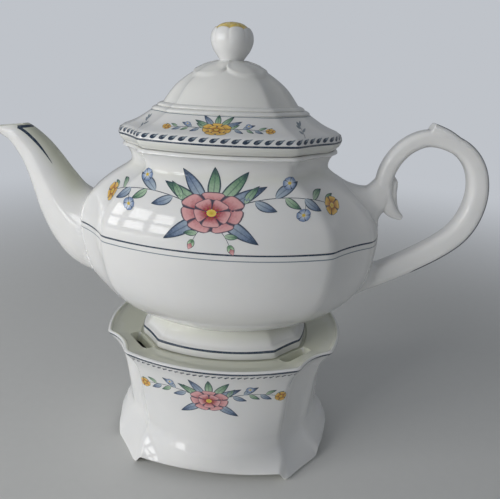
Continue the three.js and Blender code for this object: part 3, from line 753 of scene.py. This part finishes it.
spout = {"wall": 2.6, "tip": 136.5, "powers": (0.9, 1.3), "voxel": 0.55, "smoothing": 3, "root": 5.5,
         # tint is painted shade on the spout's upper faces, fading in between two distances out from the pot
         "mouthBack": -112, "mouthHeight": 1.05, "lipHeight": 1.018, "tint": 0.95, "topShadeFrom": (76, 90)}
spoutSections = onPot([
    (-66, 0.499, 26, 19), (-78, 0.513, 24.5, 17.5), (-88, 0.576, 20.8, 14.5), (-95.6, 0.659, 16.6, 12),
    (-101, 0.753, 13.6, 10.4), (-106, 0.846, 11.4, 9.2), (-111.6, 0.926, 9.6, 8.2),
    (-119.5, 0.994, 7.4, 7.2), (-130, 1.022, 3.4, 5.8), (-spout["tip"], 1.027, 1.9, 4),
])
spoutBore = [(x, z, high - spout["wall"], wide - spout["wall"]) for x, z, high, wide in spoutSections[:-3]]
spoutBore += onPot([
    (-119.5, 1.004, 5.4, 4.8), (-130, 1.042, 4, 4), (-spout["tip"] - spout["wall"], 1.056, 4, 2.8),
])


def makeSpout():
    shell = bentBar(spoutSections, 60, 48, spout["powers"])
    piece = china(sheet(capped(shell)), "spout_shell", "pot", "pot_spout")
    bore = objectFrom(sheet(capped(bentBar(spoutBore, 60, 32, spout["powers"]))), "spout_bore")
    far, back = -spout["tip"] - spout["wall"], spout["mouthBack"]
    slope = (spout["mouthHeight"] - spout["lipHeight"]) * pot["height"] / (back - far)
    mouth = newBmesh()
    block = Matrix.Translation(((back + far) / 2, 0, 15)) @ Matrix.Diagonal((back - far, 40, 30, 1))
    for v in bmesh.ops.create_cube(mouth, size=1, matrix=block)["verts"]:
        v.co.z += potHeight(spout["lipHeight"]) + slope * (v.co.x - far)
        v.co *= mm
    cut(piece, bore, objectFrom(mouth, "mouth_slice"), potBlank())
    remade(piece, spout["voxel"], spout["smoothing"])
    flared(piece, spout["root"], [(Vector((-80, 0, potHeight(0.53))), 24, 17.2, 0.86)])

    def poolAndShade(p, normal):  # painted shade on the upper side, away from the pot
        upper = smooth(0.72 * normal.z + 0.69 * normal.x, 0.25, 0.85)
        return spout["tint"] * upper * smooth(-p.x, *spout["topShadeFrom"])

    tint(piece, poolAndShade)
    return measured(shell), treeOf(piece)


spoutSkin, spoutTree = makeSpout()
print("spout made")

handle = {"powers": (0.6, 0.6), "voxel": 0.42, "smoothing": 3, "root": 4.5, "back": 131.2}
handleBars = {
    "loop": (120, [
        (66, 0.299, 6.4, 6.8), (91.3, 0.408, 6, 6.4), (114.4, 0.54, 5.9, 6.2), (126.5, 0.653, 5.8, 6.1),
        (handle["back"], 0.799, 5.3, 6), (128.4, 0.94, 4.8, 6), (119, 1.036, 4.4, 6), (104, 1.074, 4.3, 6),
        (92.5, 1.031, 4.3, 6), (85, 0.935, 4.3, 6), (83.4, 0.826, 4.3, 6), (88, 0.73, 3.6, 5.6),
        (94.5, 0.69, 1.4, 4.4)]),
    "spur": (20, [(117, 1.047, 4, 5.8), (110.5, 1.087, 3.6, 5.7), (103, 1.118, 3, 5.4)]),
    "neck": (24, [(66, 0.722, 12.5, 9), (75, 0.749, 9.8, 8), (80.5, 0.789, 8, 6.6), (83.8, 0.862, 4.6, 5.6)]),
    "pad": (20, [
        (87, 0.894, 0.8, 1), (86.9, 0.862, 3.4, 3.4), (87.1, 0.799, 3.6, 3.8), (90, 0.74, 2.2, 2.6),
        (93.4, 0.704, 0.8, 1.2)]),
}


def makeHandle():
    bars = {name: bentBar(onPot(sections), count, 32, handle["powers"])
            for name, (count, sections) in handleBars.items()}
    joined = newBmesh()
    for rings in bars.values():  # each bar ends just under the pot's skin
        bar = objectFrom(sheet(capped(rings)), "bar")
        cut(bar, potBlank())
        moveInto(joined, bar)
    piece = china(joined, "handle_loop", "pot", "pot_handle")
    remade(piece, handle["voxel"], handle["smoothing"])
    flared(piece, handle["root"], [(Vector((78, 0, potHeight(0.355))), 6.2, 6.6, 0.0),
                                   (Vector((74.5, 0, potHeight(0.747))), 9.8, 8, 0.0)])
    return measured(bars["loop"]), measured(bars["spur"]), treeOf(piece)


handleSkin, spurSkin, handleTree = makeHandle()
print("handle made")

# Lid

lidPlan = {"cutLength": 0.3, "cutWidth": 0.53, "hollow": 0.8, "edge": 1.6}
lid = {
    "height": 40.2, "beads": 2, "beadProud": 0.9, "beadLift": 0.3,
    "collarDepth": 9, "collarPlay": 1.4, "collarWall": 3.5, "steamHole": 3.5, "steamY": 15,
    "leaves": 4, "leafReach": 21, "leafNotch": 15, "leafThick": 0.75, "leafRoll": 0.45,
    # painted shade under the lid, and painted shade with glaze pooling on the upper dome
    "insidePoolAndShade": 0.3, "domePoolAndShade": 0.15,
}
lidSeat = potHeight(1) + 0.3
lidEdge = raised([
    (0, 51.6, 36.6, 4.4, 7.9, 0), (0.052, 53.3, 38.2, 4.9, 8.1, 0), (0.117, 54.1, 38.8, 5, 8.1, 0),
    (0.174, 53.4, 38, 4.9, 8.1, 0),
], lid["height"], lidSeat)
lidFlange = raised([
    (0.209, 51.6, 36.4, 4.7, 8, 0), (0.284, 45, 31.4, 4.2, 7.4, 0), (0.408, 37.8, 26.4, 3.4, 6.4, 0),
], lid["height"], lidSeat)
lidDome = raised([
    (0.5, 32.6, 23.2, 2.9, 5.5, 0), (0.709, 26.6, 19.2, 2.3, 4.6, 0), (0.871, 18.6, 14.2, 1.6, 3.4, 0.3),
    (0.96, 12, 10.4, 0.8, 1.6, 0.8), (1, 7.2, 7.2, 0, 0, 1),
], lid["height"], lidSeat)


def beadRows(low, high):
    rows = []
    for i in range(lid["beads"]):
        for k in range(12):
            angle = math.pi * k / 12
            share = (i + (1 - math.cos(angle)) / 2) / lid["beads"]
            base = tuple(mix(a, b, share) for a, b in zip(low, high))
            rows.append(grown(base, lid["beadProud"] * math.sin(angle), lid["beadLift"] * math.sin(angle)))
    return rows[1:]


def calyx(p):  # how thick the leaves round the knob lie on the dome
    angle, radius = math.atan2(p.y, p.x), math.hypot(p.x, p.y)
    turn = (angle / (2 * math.pi) * lid["leaves"]) % 1
    reach = mix(lid["leafNotch"], lid["leafReach"], abs(math.sin(math.pi * turn)) ** 0.6)
    body = lid["leafThick"] * smooth(reach - radius, -0.3, 1.3)
    overlap = math.exp(-(min(turn, 1 - turn) * 2 * math.pi / lid["leaves"] * radius / 1.1) ** 2)
    inside = smooth(reach - radius, 0, 2) * smooth(radius, 5, 8)
    rolled = lid["leafRoll"] * math.exp(-(reach - radius - 1.2) ** 2)
    folded = overlap * lid["leafRoll"] if turn < 0.5 else -0.3 * overlap
    return body + rolled * (1 - overlap) * 0.5 + folded * inside


def makeLid():
    flange, dome = curveThrough(lidFlange, 12), curveThrough(lidDome, 44)
    narrow = min((row for row in potInside if row[0] > potSeat + potNeck[0][0]), key=lambda row: row[1])
    play, throat, deep = lid["collarPlay"], -lid["collarWall"], -lid["collarDepth"]
    end = -throat / 2  # radius of the collar's round end

    def collar(z, by=0.0):
        return outlineOf(grown(narrow, by - play, z=lidSeat + z), potPlan)

    hollow = outlines([row for row in inset(flange + dome, pot["wall"])
                       if row[1] < narrow[1] - play + throat - 1], potPlan)
    rings = [blended(pole(hollow[-1][0].z), hollow[-1], share) for share in (0, 0.5)] + hollow[::-1]
    rings += [collar(2, throat), collar(0, throat), collar(deep / 2, throat), collar(deep + end, throat)]
    for degrees in (202, 225, 247, 270, 292, 315, 337, 360):
        angle = math.radians(degrees)
        rings.append(collar(deep + end + end * math.sin(angle), -end + end * math.cos(angle)))
    rings += [collar(deep / 2), collar(-1), collar(-0.3, 0.1), collar(0, 0.6)]
    edge = curveThrough(lidEdge, 12)
    rings += [blended(rings[-1], outlineOf(edge[0], lidPlan), share) for share in (0.3, 0.7, 0.94)]
    face = outlines(edge + flange + beadRows(flange[-1], dome[0]), lidPlan)
    domeRings = outlines(dome, lidPlan)
    for j, ring in enumerate(domeRings):
        above, below = domeRings[min(j + 1, len(dome) - 1)], domeRings[max(j - 1, 0)]
        shaped = []
        for i, p in enumerate(ring):
            along, across = above[i] - below[i], ring[(i + 1) % len(ring)] - ring[i - 1]
            shaped.append(p + across.cross(along).normalized() * calyx(p))
        face.append(shaped)
    rings += face + [blended(face[-1], pole(face[-1][0].z), share) for share in (0.5, 1)]
    piece = china(sheet(rings), "lid_shell", "lid", "lid_body")
    hole = newBmesh()
    drill(hole, (0, lid["steamY"], lidSeat + lid["height"]), lid["steamHole"], 30)
    cut(piece, objectFrom(hole, "steam_hole"))
    crease(piece, 50)
    # painted shade on faces turned down, and painted shade with glaze pooling on the upper dome
    tint(piece, lambda p, normal: lid["insidePoolAndShade"] if normal.z < -0.2 else lid["domePoolAndShade"] * smooth(
        p.z, lidSeat + 14, lidSeat + 22))
    return measured(face)


lidSkin = makeLid()
print("lid made")

knob = {"radius": 10.8, "base": 6.2, "height": 17.95, "petals": 8, "groove": 0.3, "cup": 0.79,
        "scallop": 0.05, "step": 0.5, "sunk": 0.4, "foot": 1.2, "sides": 160}


def makeKnob():
    k, seat = knob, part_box("lid_knob")[0].z / mm
    profile = curveThrough([(0, k["base"])] + [(share, k["radius"] * wide) for share, wide in (
        (0.1, 0.7), (0.26, 0.88), (0.48, 1), (0.7, 0.95), (0.87, 0.73), (0.96, 0.44), (1, 0.02))], 84)

    def edgeOf(angle):  # height of the petals' scalloped edge
        return k["cup"] + k["scallop"] * abs(math.sin(k["petals"] * angle / 2)) ** 0.7

    def petal(radius, share, angle):
        seam = (1 - abs(math.sin(k["petals"] * angle / 2))) ** 4
        past = smooth(share, edgeOf(angle) - 0.012, edgeOf(angle) + 0.012)
        r = radius - k["groove"] * seam * smooth(share, 0.25, 0.7) - k["step"] * past * (radius / k["radius"])
        return max(r, 0.01), seat + share * k["height"] - past * k["sunk"]

    rings = turnedRings([(0, seat - k["foot"]), (k["base"], seat - k["foot"])], k["sides"])
    rings += turnedRings([(radius, share) for share, radius in profile], k["sides"], petal)
    rings += turnedRings([(0, seat + k["height"] - k["sunk"])], k["sides"])
    piece = china(sheet(rings), "knob_bud", "lid", "lid_knob", 60)
    tint(piece, gilded=lambda p, normal: smooth(
        (p.z - seat + 0.3) / k["height"] - edgeOf(math.atan2(p.x, p.y)), -0.02, 0.01))


makeKnob()
print("knob made")

# Tealight

tealight = {"radius": 19, "height": 16, "flutes": 48, "flute": 0.35, "wax": 13.1, "disc": 6,
            "wick": 0.8, "wickFrom": 2.0, "wickLength": 17, "wickTwist": 2.2}


def grained(name, grain, colours, roughGrain, roughness, bump=None, spread=None, **shade):
    look = Look(name)
    share = look.noise(*grain)
    look.shade({
        "Base Color": look.mix(look.ease(share, *spread) if spread else share, *colours),
        "Roughness": look.ease(look.noise(roughGrain, 3.0), 0.3, 0.7, *roughness),
    })
    look.shade({name.replace("_", " "): value for name, value in shade.items()})
    if bump:
        distance, *fine = bump
        look.bump(look.noise(*fine), distance)
    return look.material


metal = grained("pressedAluminium", (300, 3.0), ((0.74, 0.75, 0.77), (0.82, 0.82, 0.83)), 1400, (0.22, 0.42),
                bump=(0.0001, 900, 2.0), Metallic=1.0)
paraffin = grained("paraffinWax", (260, 4.0), ((0.86, 0.84, 0.77), (0.90, 0.88, 0.82)), 700, (0.32, 0.5),
                   bump=(0.0003, 220, 4.0), spread=(0.35, 0.7), Subsurface_Weight=0.4, Subsurface_Scale=0.003)
cotton = grained("waxedCotton", (2500, 3.0), ((0.66, 0.60, 0.48), (0.80, 0.76, 0.66)), 3000, (0.6, 0.9))


def makeTealight():
    t, base = tealight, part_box("tealight_cup")[0].z / mm
    r, h, plate = t["radius"], t["height"], t["disc"]
    low, high = t["wickFrom"], t["wickFrom"] + t["wickLength"]

    def plain(a, z, angle):
        return a, base + z

    def fluted(a, z, angle):
        depth = t["flute"] * smooth(z, 1, 3) * smooth(h - z, 1, 3) if a > r - 1 else 0
        return a - depth * (1 - math.cos(t["flutes"] * angle)) / 2, base + z

    def braided(a, z, angle):
        end = math.sqrt(max(1 - max((z - high + 0.5) / 0.5, 0) ** 2, 0))
        strands = math.cos(3 * angle + t["wickTwist"] * z) * math.cos(3 * angle - t["wickTwist"] * z)
        return a * end * (0.90 + 0.10 * strands), base + z

    cup = [(0, 0.5), (13, 0.5), (15, 0), (r - 1.2, 0), (r - 0.5, 0.25), (r - 0.25, 0.9)]
    cup += [(r - 0.25, mix(1.5, h - 1.2, i / 6)) for i in range(7)]
    cup += [(r - 0.2, h - 0.8), (r, h - 0.4), (r - 0.1, h - 0.05), (r - 0.5, h - 0.1), (r - 0.62, h - 0.6)]
    cup += [(r - 0.62, mix(h - 1.2, 1.2, i / 6)) for i in range(7)]
    cup += [(r - 0.9, 0.6), (r - 2, 0.35), (13, 0.8), (0, 0.8)]
    pieceFrom(sheet(turnedRings(cup, 192, fluted)), "tealight_foil", "tealight", [metal], "tealight_cup",
              50)
    edge, top, hole = r - 1.1, t["wax"], t["wick"] + 0.35
    wax = [(hole, top + 0.5), (hole + 0.5, top + 0.15), (hole + 2, top - 0.25), (8, top - 0.4),
           (14, top - 0.3), (edge - 1, top), (edge - 0.1, top + 0.6), (edge, top + 0.5), (edge, 6),
           (edge, 1.4), (edge - 0.8, 0.95), (plate + 0.5, 0.95), (plate + 0.4, 1.4), (plate + 0.2, 2.0),
           (hole + 0.1, 2.1), (hole, 2.6)]
    fill = sheet(turnedRings(wax, shapeAt=plain), looped=True)
    if fill.calc_volume(signed=True) < 0:
        bmesh.ops.reverse_faces(fill, faces=fill.faces)
    pieceFrom(fill, "tealight_fill", "tealight", [paraffin], "tealight_wax", 50)
    disc = [(0, 0.95), (plate - 0.2, 0.95), (plate, 1.1), (plate, 1.3), (plate - 0.2, 1.4), (1.5, 1.4),
            (1.2, 1.7), (0.9, 1.7), (0, 1.65)]
    pieceFrom(sheet(turnedRings(disc, shapeAt=plain)), "wick_plate", "tealight", [metal],
              "tealight_wick_disc", 40)
    strand = [(0, low)] + [(t["wick"], mix(low, high, j / 60)) for j in range(61)] + [(0, high)]
    pieceFrom(sheet(turnedRings(strand, 36, braided)), "wick_braid", "tealight", [cotton], "tealight_wick")


makeTealight()
print("tealight made")

# Painted lines and flowers, a hair proud of the glaze. Angles are in degrees, 90 is up.

decor = {
    "proud": 0.05, "layer": 0.008,
    "lines": {  # height, width, paint
        "rim": (72.1, 1.45, "ink"), "foot": (74.0, 1.25, "ink"),
        "belt": (135.3, 0.85, "ink"), "lowerBelt": (132.4, 0.5, "greyInk"),
        "lidRim": (184.1, 0.85, "ink"), "lidMiddle": (195.6, 0.45, "greyInk"),
    },
    "stripe": 1.7, "stripeAt": 0.58, "stripeOnLoop": (0.2, 0.63), "stripeOnSpur": (0, 0.95),
    "spoutLine": 1.5, "ridge": [(5.0, -18), (5.6, -21), (6.2, -25.6), (7.1, -33.5), (8, -41.6)],
    "collar": [(5.0, -18), (6.5, -19.1), (9, -20.4), (13, -21.4)],
    "dropPitch": 4.9, "dropLength": 4.4, "dropWidth": 2.1, "dropRise": 1.5,
    "dashPitch": 3.3, "dashes": 14, "dash": 1.35, "dashFrom": (-1.2, -3.5), "dashTo": (1.2, -2.3),
    "warmerPosyAt": 51, "potPosyRise": 19.5, "lidPosyAt": 190.2, "sprigAt": (44, 187.6), "sprig": 1.05,
    "warmerPosy": {"size": 0.85, "reach": 42, "full": False},
    "potPosy": {"size": 1.22, "reach": 47},
    "lidPosy": {"size": 0.55, "bloom": "yellow", "reach": 40, "rise": 84, "droop": 14, "full": False,
                "crown": 5},
    "leaves": [  # on a vine: share of the way along it, angle, length, paint
        (0.17, 48, 8.5, "green"), (0.25, -52, 9.5, "blue"), (0.42, 40, 11, "blue"),
        (0.50, -50, 8, "green"), (0.67, -42, 9, "blue"), (0.75, 44, 7.5, "green"),
        (0.92, 58, 6, "green"), (0.92, -58, 5.5, "green"),
    ],
    "crown": [  # round the middle flower: angle, length, paint
        (52, 17, "green"), (128, 17, "blue"), (90, 14, "green"), (28, 19, "blue"),
        (152, 19, "green"), (-32, 18, "blue"), (-148, 18, "blue"),
    ],
    "stalks": [(5, 62, 8), (8, -66, 6.5)],  # of a vine's small flowers: place, angle, length
    "lesserStalks": [(5, 62, 6)],
}


def newArt(skin, tree=None):  # with a tree, the paint lies on the piece that the tree was made of
    return {"bm": newBmesh(), "skin": skin, "tree": tree}


# The patch's second direction lies to the right of its first, seen from outside.
def patch(art, shape, along, across, paint, layer=0):
    made = bmesh.ops.create_grid(art["bm"], x_segments=across, y_segments=along, size=1,
                                 calc_uvs=True)["verts"]
    lift = decor["proud"] + decor["layer"] * layer
    for n, vert in enumerate(made):
        s, t = shape(n // (across + 1) / along, 2 * (n % (across + 1)) / across - 1)
        if art["tree"]:
            near, normal, _, _ = art["tree"].find_nearest(spotOn(art["skin"], s, t) * mm)
            vert.co = near + normal * lift * mm
        else:
            vert.co = spotOn(art["skin"], s, t, lift) * mm
    for face in {f for v in made for f in v.link_faces}:
        face.material_index = paintOrder.index(paint)


def stroke(art, points, width, count=16):
    path = [Vector(p) for p in curveThrough([tuple(p) for p in points], count)]

    def shape(a, b):
        i = round(a * count)
        way = (path[min(i + 1, count)] - path[max(i - 1, 0)]).normalized()
        half = width(a) / 2
        return path[i].x + way.y * b * half, path[i].y - way.x * b * half
    patch(art, shape, count, 4, "ink")


def band(art, line):  # a line right round, drawn by hand; returns how far up the skin it lies
    skin = art["skin"]
    height, width, paint = decor["lines"][line]
    t = heightOn(skin, height)
    around = skin["around"][min(max(bisect(skin["up"], t) - 1, 0), len(skin["up"]) - 2)]

    def shape(a, b):
        i = round(a * (len(around) - 1))
        return around[i], t - b * width / 2 * (1 + 0.10 * math.sin(0.9 + 23 * a) * math.sin(57 * a))
    patch(art, shape, len(around) - 1, 4, paint)
    return t


def artPiece(art, name, body):
    return pieceFrom(art["bm"], name, body, [paints[k] for k in paintOrder])


def leaf(art, at, angle, length, width, paint, bend=0.0, layer=1):
    way = Vector((math.cos(math.radians(angle)), math.sin(math.radians(angle))))
    side = Vector((way.y, -way.x))

    def shape(a, b):
        half = width / 2 * math.sin(math.pi * a ** 0.8) ** 0.85
        p = Vector(at) + way * length * a + side * (bend * length * a * a + b * half)
        return p.x, p.y
    patch(art, shape, 16, 6, paint, layer)


def disc(art, at, radius, paint, squash, layer, sides=14):
    def shape(a, b):
        angle = -math.pi * b
        return at[0] + radius * a * math.cos(angle), at[1] + squash * radius * a * math.sin(angle)
    patch(art, shape, 2, sides, paint, layer)


def blossom(art, at, radius, paint, heart, turn=90.0, squash=0.88, layer=3, petals=5):
    inner, wide = 0.16 * radius, 2.35 * radius * math.sin(math.pi / petals)
    for k in range(petals):
        angle = math.radians(turn + 360 * k / petals)
        way = Vector((math.cos(angle), math.sin(angle)))
        side = Vector((way.y, -way.x))
        grow = radius * (1 + 0.06 * math.sin(2.3 * k + at[0])) - inner

        def shape(a, b):
            half = wide / 2 * a ** 0.6 * (1 - 0.22 * a ** 3)
            frill = 1 - 0.30 * b * b - 0.09 * math.exp(-(b / 0.22) ** 2) + 0.025 * math.cos(9 * b)
            p = way * (inner + grow * mix(a, a * frill, a)) + side * b * half
            return at[0] + p.x, at[1] + p.y * squash
        patch(art, shape, 12, 12, paint, layer + (k % 2) + (k == petals - 1))
    if heart:
        disc(art, at, 0.25 * radius, heart, squash, layer + 4)
    if heart and radius > 4:
        for k in range(11):
            angle = 2 * math.pi * (k + 0.3) / 11
            reach = 0.37 * radius * (1 + 0.12 * (k % 2))
            spot = (at[0] + reach * math.cos(angle), at[1] + reach * math.sin(angle) * squash)
            disc(art, spot, 0.035 * radius + 0.1, "stamen", squash, layer + 4, 6)


def vine(art, at, heading, length, curl, width=0.42, steps=12):
    points, angles = [Vector(at)], [heading]
    for i in range(steps):
        angles.append(heading + curl * (i + 1) / steps)
        turn = math.radians(angles[-1])
        points.append(points[-1] + Vector((math.cos(turn), math.sin(turn))) * length / steps)
    stroke(art, points, lambda a: width * (1 - 0.45 * a), 3 * steps)
    return points, angles


def posy(art, y, size, bloom="rose", reach=46, rise=62, droop=50, full=True, crown=7):
    for side in (-1, 1):
        start = (side * 5 * size, y + size)
        points, angles = vine(art, start, 90 - side * rise, reach * size, -side * droop)
        for share, turn, length, paint in decor["leaves"]:
            n = round(share * 12)
            leaf(art, points[n], angles[n] + side * turn, length * size, 0.40 * length * size, paint,
                 math.copysign(0.22, side * turn))
        for n, turn, long in decor["stalks" if full else "lesserStalks"]:
            stalk, _ = vine(art, points[n], angles[n] + side * turn, long * size, -side * 35, 0.3, 6)
            blossom(art, stalk[-1], 2.9 * size, "bluePetal", "pollen", 90 + 20 * side, 0.9)
        blossom(art, points[-1], 4.4 * size, "yellow", "pollen", 70 * side, 0.85)
    for angle, length, paint in decor["crown"][:crown]:
        way = math.radians(angle)
        root = (4 * size * math.cos(way), y + 4 * size * math.sin(way))
        leaf(art, root, angle, length * size, 5.2 * size, paint)
    for side, long in ((-1, 6), (1, 7.5)) if full else ():  # two buds under the flower
        start = (side * 3 * size, y - 6 * size)
        stem, angles = vine(art, start, side * 50 - 90, long * size, -side * 25, 0.35, 8)
        leaf(art, stem[4], angles[4] + side * 50, 5.5 * size, 2.4 * size, "green")
        leaf(art, stem[-1], angles[-1], 4.4 * size, 2.8 * size, "rose", layer=2)
        for turn in (24, -24):
            leaf(art, stem[-1], angles[-1] + turn, 2.8 * size, 1.4 * size, "sepal", layer=3)
    blossom(art, (0, y), 13.5 * size, bloom, None, 90, 0.62, layer=4, petals=7)
    blossom(art, (0, y - 0.3 * size), 7.6 * size, bloom, "pollen", 54, 0.74, layer=9)


def sprig(art, at, size):
    stem, angles = vine(art, at, 80, 8 * size, 30, 0.28, 6)
    for n, turn in ((2, 48), (3, -48), (5, 40), (6, -30), (6, 10)):
        leaf(art, stem[n], angles[n] + turn, 3.6 * size, 1.5 * size, "greyInk")


def frontAndBack(art):
    for skin in (art["skin"], dict(art["skin"], back=True)):
        art["skin"] = skin
        yield skin


def mirrored(skin, path):  # the path of the front, on the back
    rows = [min(bisect(skin["up"], t), len(skin["up"]) - 1) for _, t in path]
    return [(skin["around"][j][-1] - s, t) for j, (s, t) in zip(rows, path)]


def paintWarmer():
    art = newArt(warmerSkin)
    line = band(art, "rim")
    for skin in frontAndBack(art):
        for i in range(-decor["dashes"], decor["dashes"] + 1):
            dash = [(i * decor["dashPitch"] + s, line + t) for s, t in (decor["dashFrom"], decor["dashTo"])]
            stroke(art, dash, lambda a: decor["dash"] * (1 - 0.5 * a), 4)
        posy(art, heightOn(skin, decor["warmerPosyAt"]), **decor["warmerPosy"])
    artPiece(art, "warmer_painting", "warmer")


def paintPot():
    art = newArt(potSkin)
    belt = band(art, "belt")
    band(art, "lowerBelt")
    for _ in frontAndBack(art):
        posy(art, belt + decor["potPosyRise"], **decor["potPosy"])
    artPiece(art, "pot_painting", "pot")
    art = newArt(footSkin)
    band(art, "foot")
    artPiece(art, "foot_line", "pot")


def paintLid():
    art = newArt(lidSkin)
    t, long = band(art, "lidRim") + decor["dropRise"], decor["dropLength"]
    band(art, "lidMiddle")
    edge = lidSkin["around"][bisect(lidSkin["up"], t)]
    drops = round((edge[-1] - edge[0]) / decor["dropPitch"])
    for i in range(drops):
        s = mix(edge[0], edge[-1], i / drops)
        leaf(art, (s - 0.46 * long, t), 15, long, decor["dropWidth"], "ink", -0.12)
        leaf(art, (s - 0.02 * long, t + 0.7), 22, 0.7 * long, 1.0, "greyInk", -0.1, 2)
    away, height = decor["sprigAt"]
    for skin in frontAndBack(art):
        posy(art, heightOn(skin, decor["lidPosyAt"]), **decor["lidPosy"])
        for side in (-1, 1):
            sprig(art, (side * away, heightOn(skin, height)), decor["sprig"])
    artPiece(art, "lid_painting", "lid")


def paintSpoutAndHandle():
    art, top, wide = newArt(spoutSkin, spoutTree), spoutSkin["up"][-1], decor["spoutLine"]
    for flip in (False, True):
        for name, count, ends in (("ridge", 48, 2.2), ("collar", 24, 9)):
            path = [(s, top + t) for s, t in decor[name]]
            path = mirrored(spoutSkin, path) if flip else path
            stroke(art, path, lambda a: wide * min(1, ends * (1 - a) + 0.1), count)
    artPiece(art, "spout_line", "pot")
    art = newArt(handleSkin, handleTree)
    for skin, (first, last) in ((handleSkin, decor["stripeOnLoop"]), (spurSkin, decor["stripeOnSpur"])):
        art["skin"] = skin
        s = skin["around"][len(skin["rings"]) // 2][-1] / 2 * decor["stripeAt"]
        path = [(s, skin["up"][-1] * mix(first, last, i / 12)) for i in range(13)]
        for line in (path, mirrored(skin, path)):
            stroke(art, line, lambda a: decor["stripe"] * min(1, 20 * a + 0.2, 20 * (1 - a) + 0.3), 120)
    artPiece(art, "handle_line", "pot")


paintWarmer()
paintPot()
paintLid()
paintSpoutAndHandle()
print("painting made")

# Floor, camera and light

studio = {
    "cameraAt": (40.56, -259.05, 213.51), "yaw": 0.10495, "pitch": 0.34594, "roll": 0.04107, "lens": 34.55,
    "floorColour": (0.68, 0.68, 0.66), "floorFade": (0.22, 0.9), "floorRadius": 6,
    "skyColour": (0.52, 0.545, 0.585), "skyLight": 0.28, "skyTone": (0.80, 0.84, 0.90), "aim": (0, 0, 0.11),
    "window": {"at": (-1.05, -0.8, 0.42), "columns": 3, "rows": 2, "pane": (0.25, 0.25),
               "pitch": (0.34, 0.34), "watts": 4.6, "glow": 1.0, "glowWatts": 8.4},
    "fill": {"at": (0.9, -0.5, 0.9), "size": 1.2, "watts": 0.3},
}


def areaLight(name, at, size, watts):
    light = bpy.data.lights.new(name, "AREA")
    light.energy = watts
    if isinstance(size, tuple):
        light.shape, light.size, light.size_y = "RECTANGLE", *size
    else:
        light.size = size
    lamp = bpy.data.objects.new(name, light)
    lamp.location = at
    lamp.rotation_euler = (Vector(studio["aim"]) - Vector(at)).to_track_quat("-Z", "Y").to_euler()
    bpy.context.scene.collection.objects.link(lamp)
    return lamp


def blendShaders(tree, share, first, second, output):
    shown = tree.nodes.new("ShaderNodeMixShader")
    for socket, value in zip(shown.inputs, (share, first, second)):
        tree.links.new(value, socket)
    tree.links.new(shown.outputs[0], tree.nodes[output].inputs["Surface"])


def makeCamera():
    s = studio
    ahead = Vector((-math.sin(s["yaw"]), math.cos(s["yaw"]), 0))
    aside = Vector((math.cos(s["yaw"]), math.sin(s["yaw"]), 0))
    above = Vector((0, 0, math.cos(s["pitch"]))) + ahead * math.sin(s["pitch"])
    ahead = ahead * math.cos(s["pitch"]) - Vector((0, 0, math.sin(s["pitch"])))
    right = aside * math.cos(s["roll"]) + above * math.sin(s["roll"])
    up = above * math.cos(s["roll"]) - aside * math.sin(s["roll"])
    camera = bpy.data.objects.new("camera", bpy.data.cameras.new("camera"))
    camera.data.lens, camera.data.sensor_width, camera.data.clip_start = s["lens"], 36, 0.01
    turn = Matrix((right, up, -ahead)).transposed().to_4x4()
    camera.matrix_world = Matrix.Translation(Vector(s["cameraAt"]) * mm) @ turn
    bpy.context.scene.collection.objects.link(camera)
    bpy.context.scene.camera = camera


def makeFloor():  # far off it fades into the sky, for the camera only
    s, look = studio, Look("paleTable")
    paler = tuple(1.04 * c for c in s["floorColour"])
    look.shade({"Base Color": look.mix(look.noise(160, 3.0), s["floorColour"], paler), "Roughness": 0.6})
    away = look.node("VectorMath", {0: look.place}, operation="LENGTH").outputs["Value"]
    seen = look.node("LightPath", {}).outputs["Is Camera Ray"]
    haze = look.node("Emission", {"Color": s["skyColour"]}).outputs[0]
    blendShaders(look.material.node_tree, look.calc("MULTIPLY", look.ease(away, *s["floorFade"]), seen),
                 look.nodes["Principled BSDF"].outputs[0], haze, "Material Output")
    bm = bmesh.new()
    bmesh.ops.create_circle(bm, cap_ends=True, segments=96, radius=s["floorRadius"])
    floor = objectFrom(bm, "floor")
    floor.data.materials.append(look.material)


def makeWorld():  # the camera sees an even colour, the object a pale room
    world = bpy.data.worlds.new("softRoom")
    world.use_nodes = True
    nodes = world.node_tree.nodes
    light, wall = nodes["Background"], nodes.new("ShaderNodeBackground")
    light.inputs["Color"].default_value = (*studio["skyTone"], 1)
    light.inputs["Strength"].default_value = studio["skyLight"]
    wall.inputs["Color"].default_value = (*studio["skyColour"], 1)
    seen = nodes.new("ShaderNodeLightPath").outputs["Is Camera Ray"]
    blendShaders(world.node_tree, seen, light.outputs[0], wall.outputs[0], "World Output")
    bpy.context.scene.world = world


def makeLights():
    fill, w = studio["fill"], studio["window"]
    areaLight("fillLight", fill["at"], fill["size"], fill["watts"])
    areaLight("windowGlow", w["at"], w["glow"], w["glowWatts"]).visible_glossy = False
    middle, watts = Vector(w["at"]), w["watts"] / w["columns"] / w["rows"]
    facing = (middle - Vector(studio["aim"])).to_track_quat("Z", "Y")
    for i in range(w["columns"]):
        for j in range(w["rows"]):
            off = Vector((w["pitch"][0] * (i - (w["columns"] - 1) / 2),
                          w["pitch"][1] * (j - (w["rows"] - 1) / 2), 0))
            areaLight(f"pane{i}{j}", middle + facing @ off, w["pane"], watts)


makeCamera()
makeFloor()
makeWorld()
makeLights()
bpy.context.scene.view_settings.view_transform = "Standard"
print("studio ready")
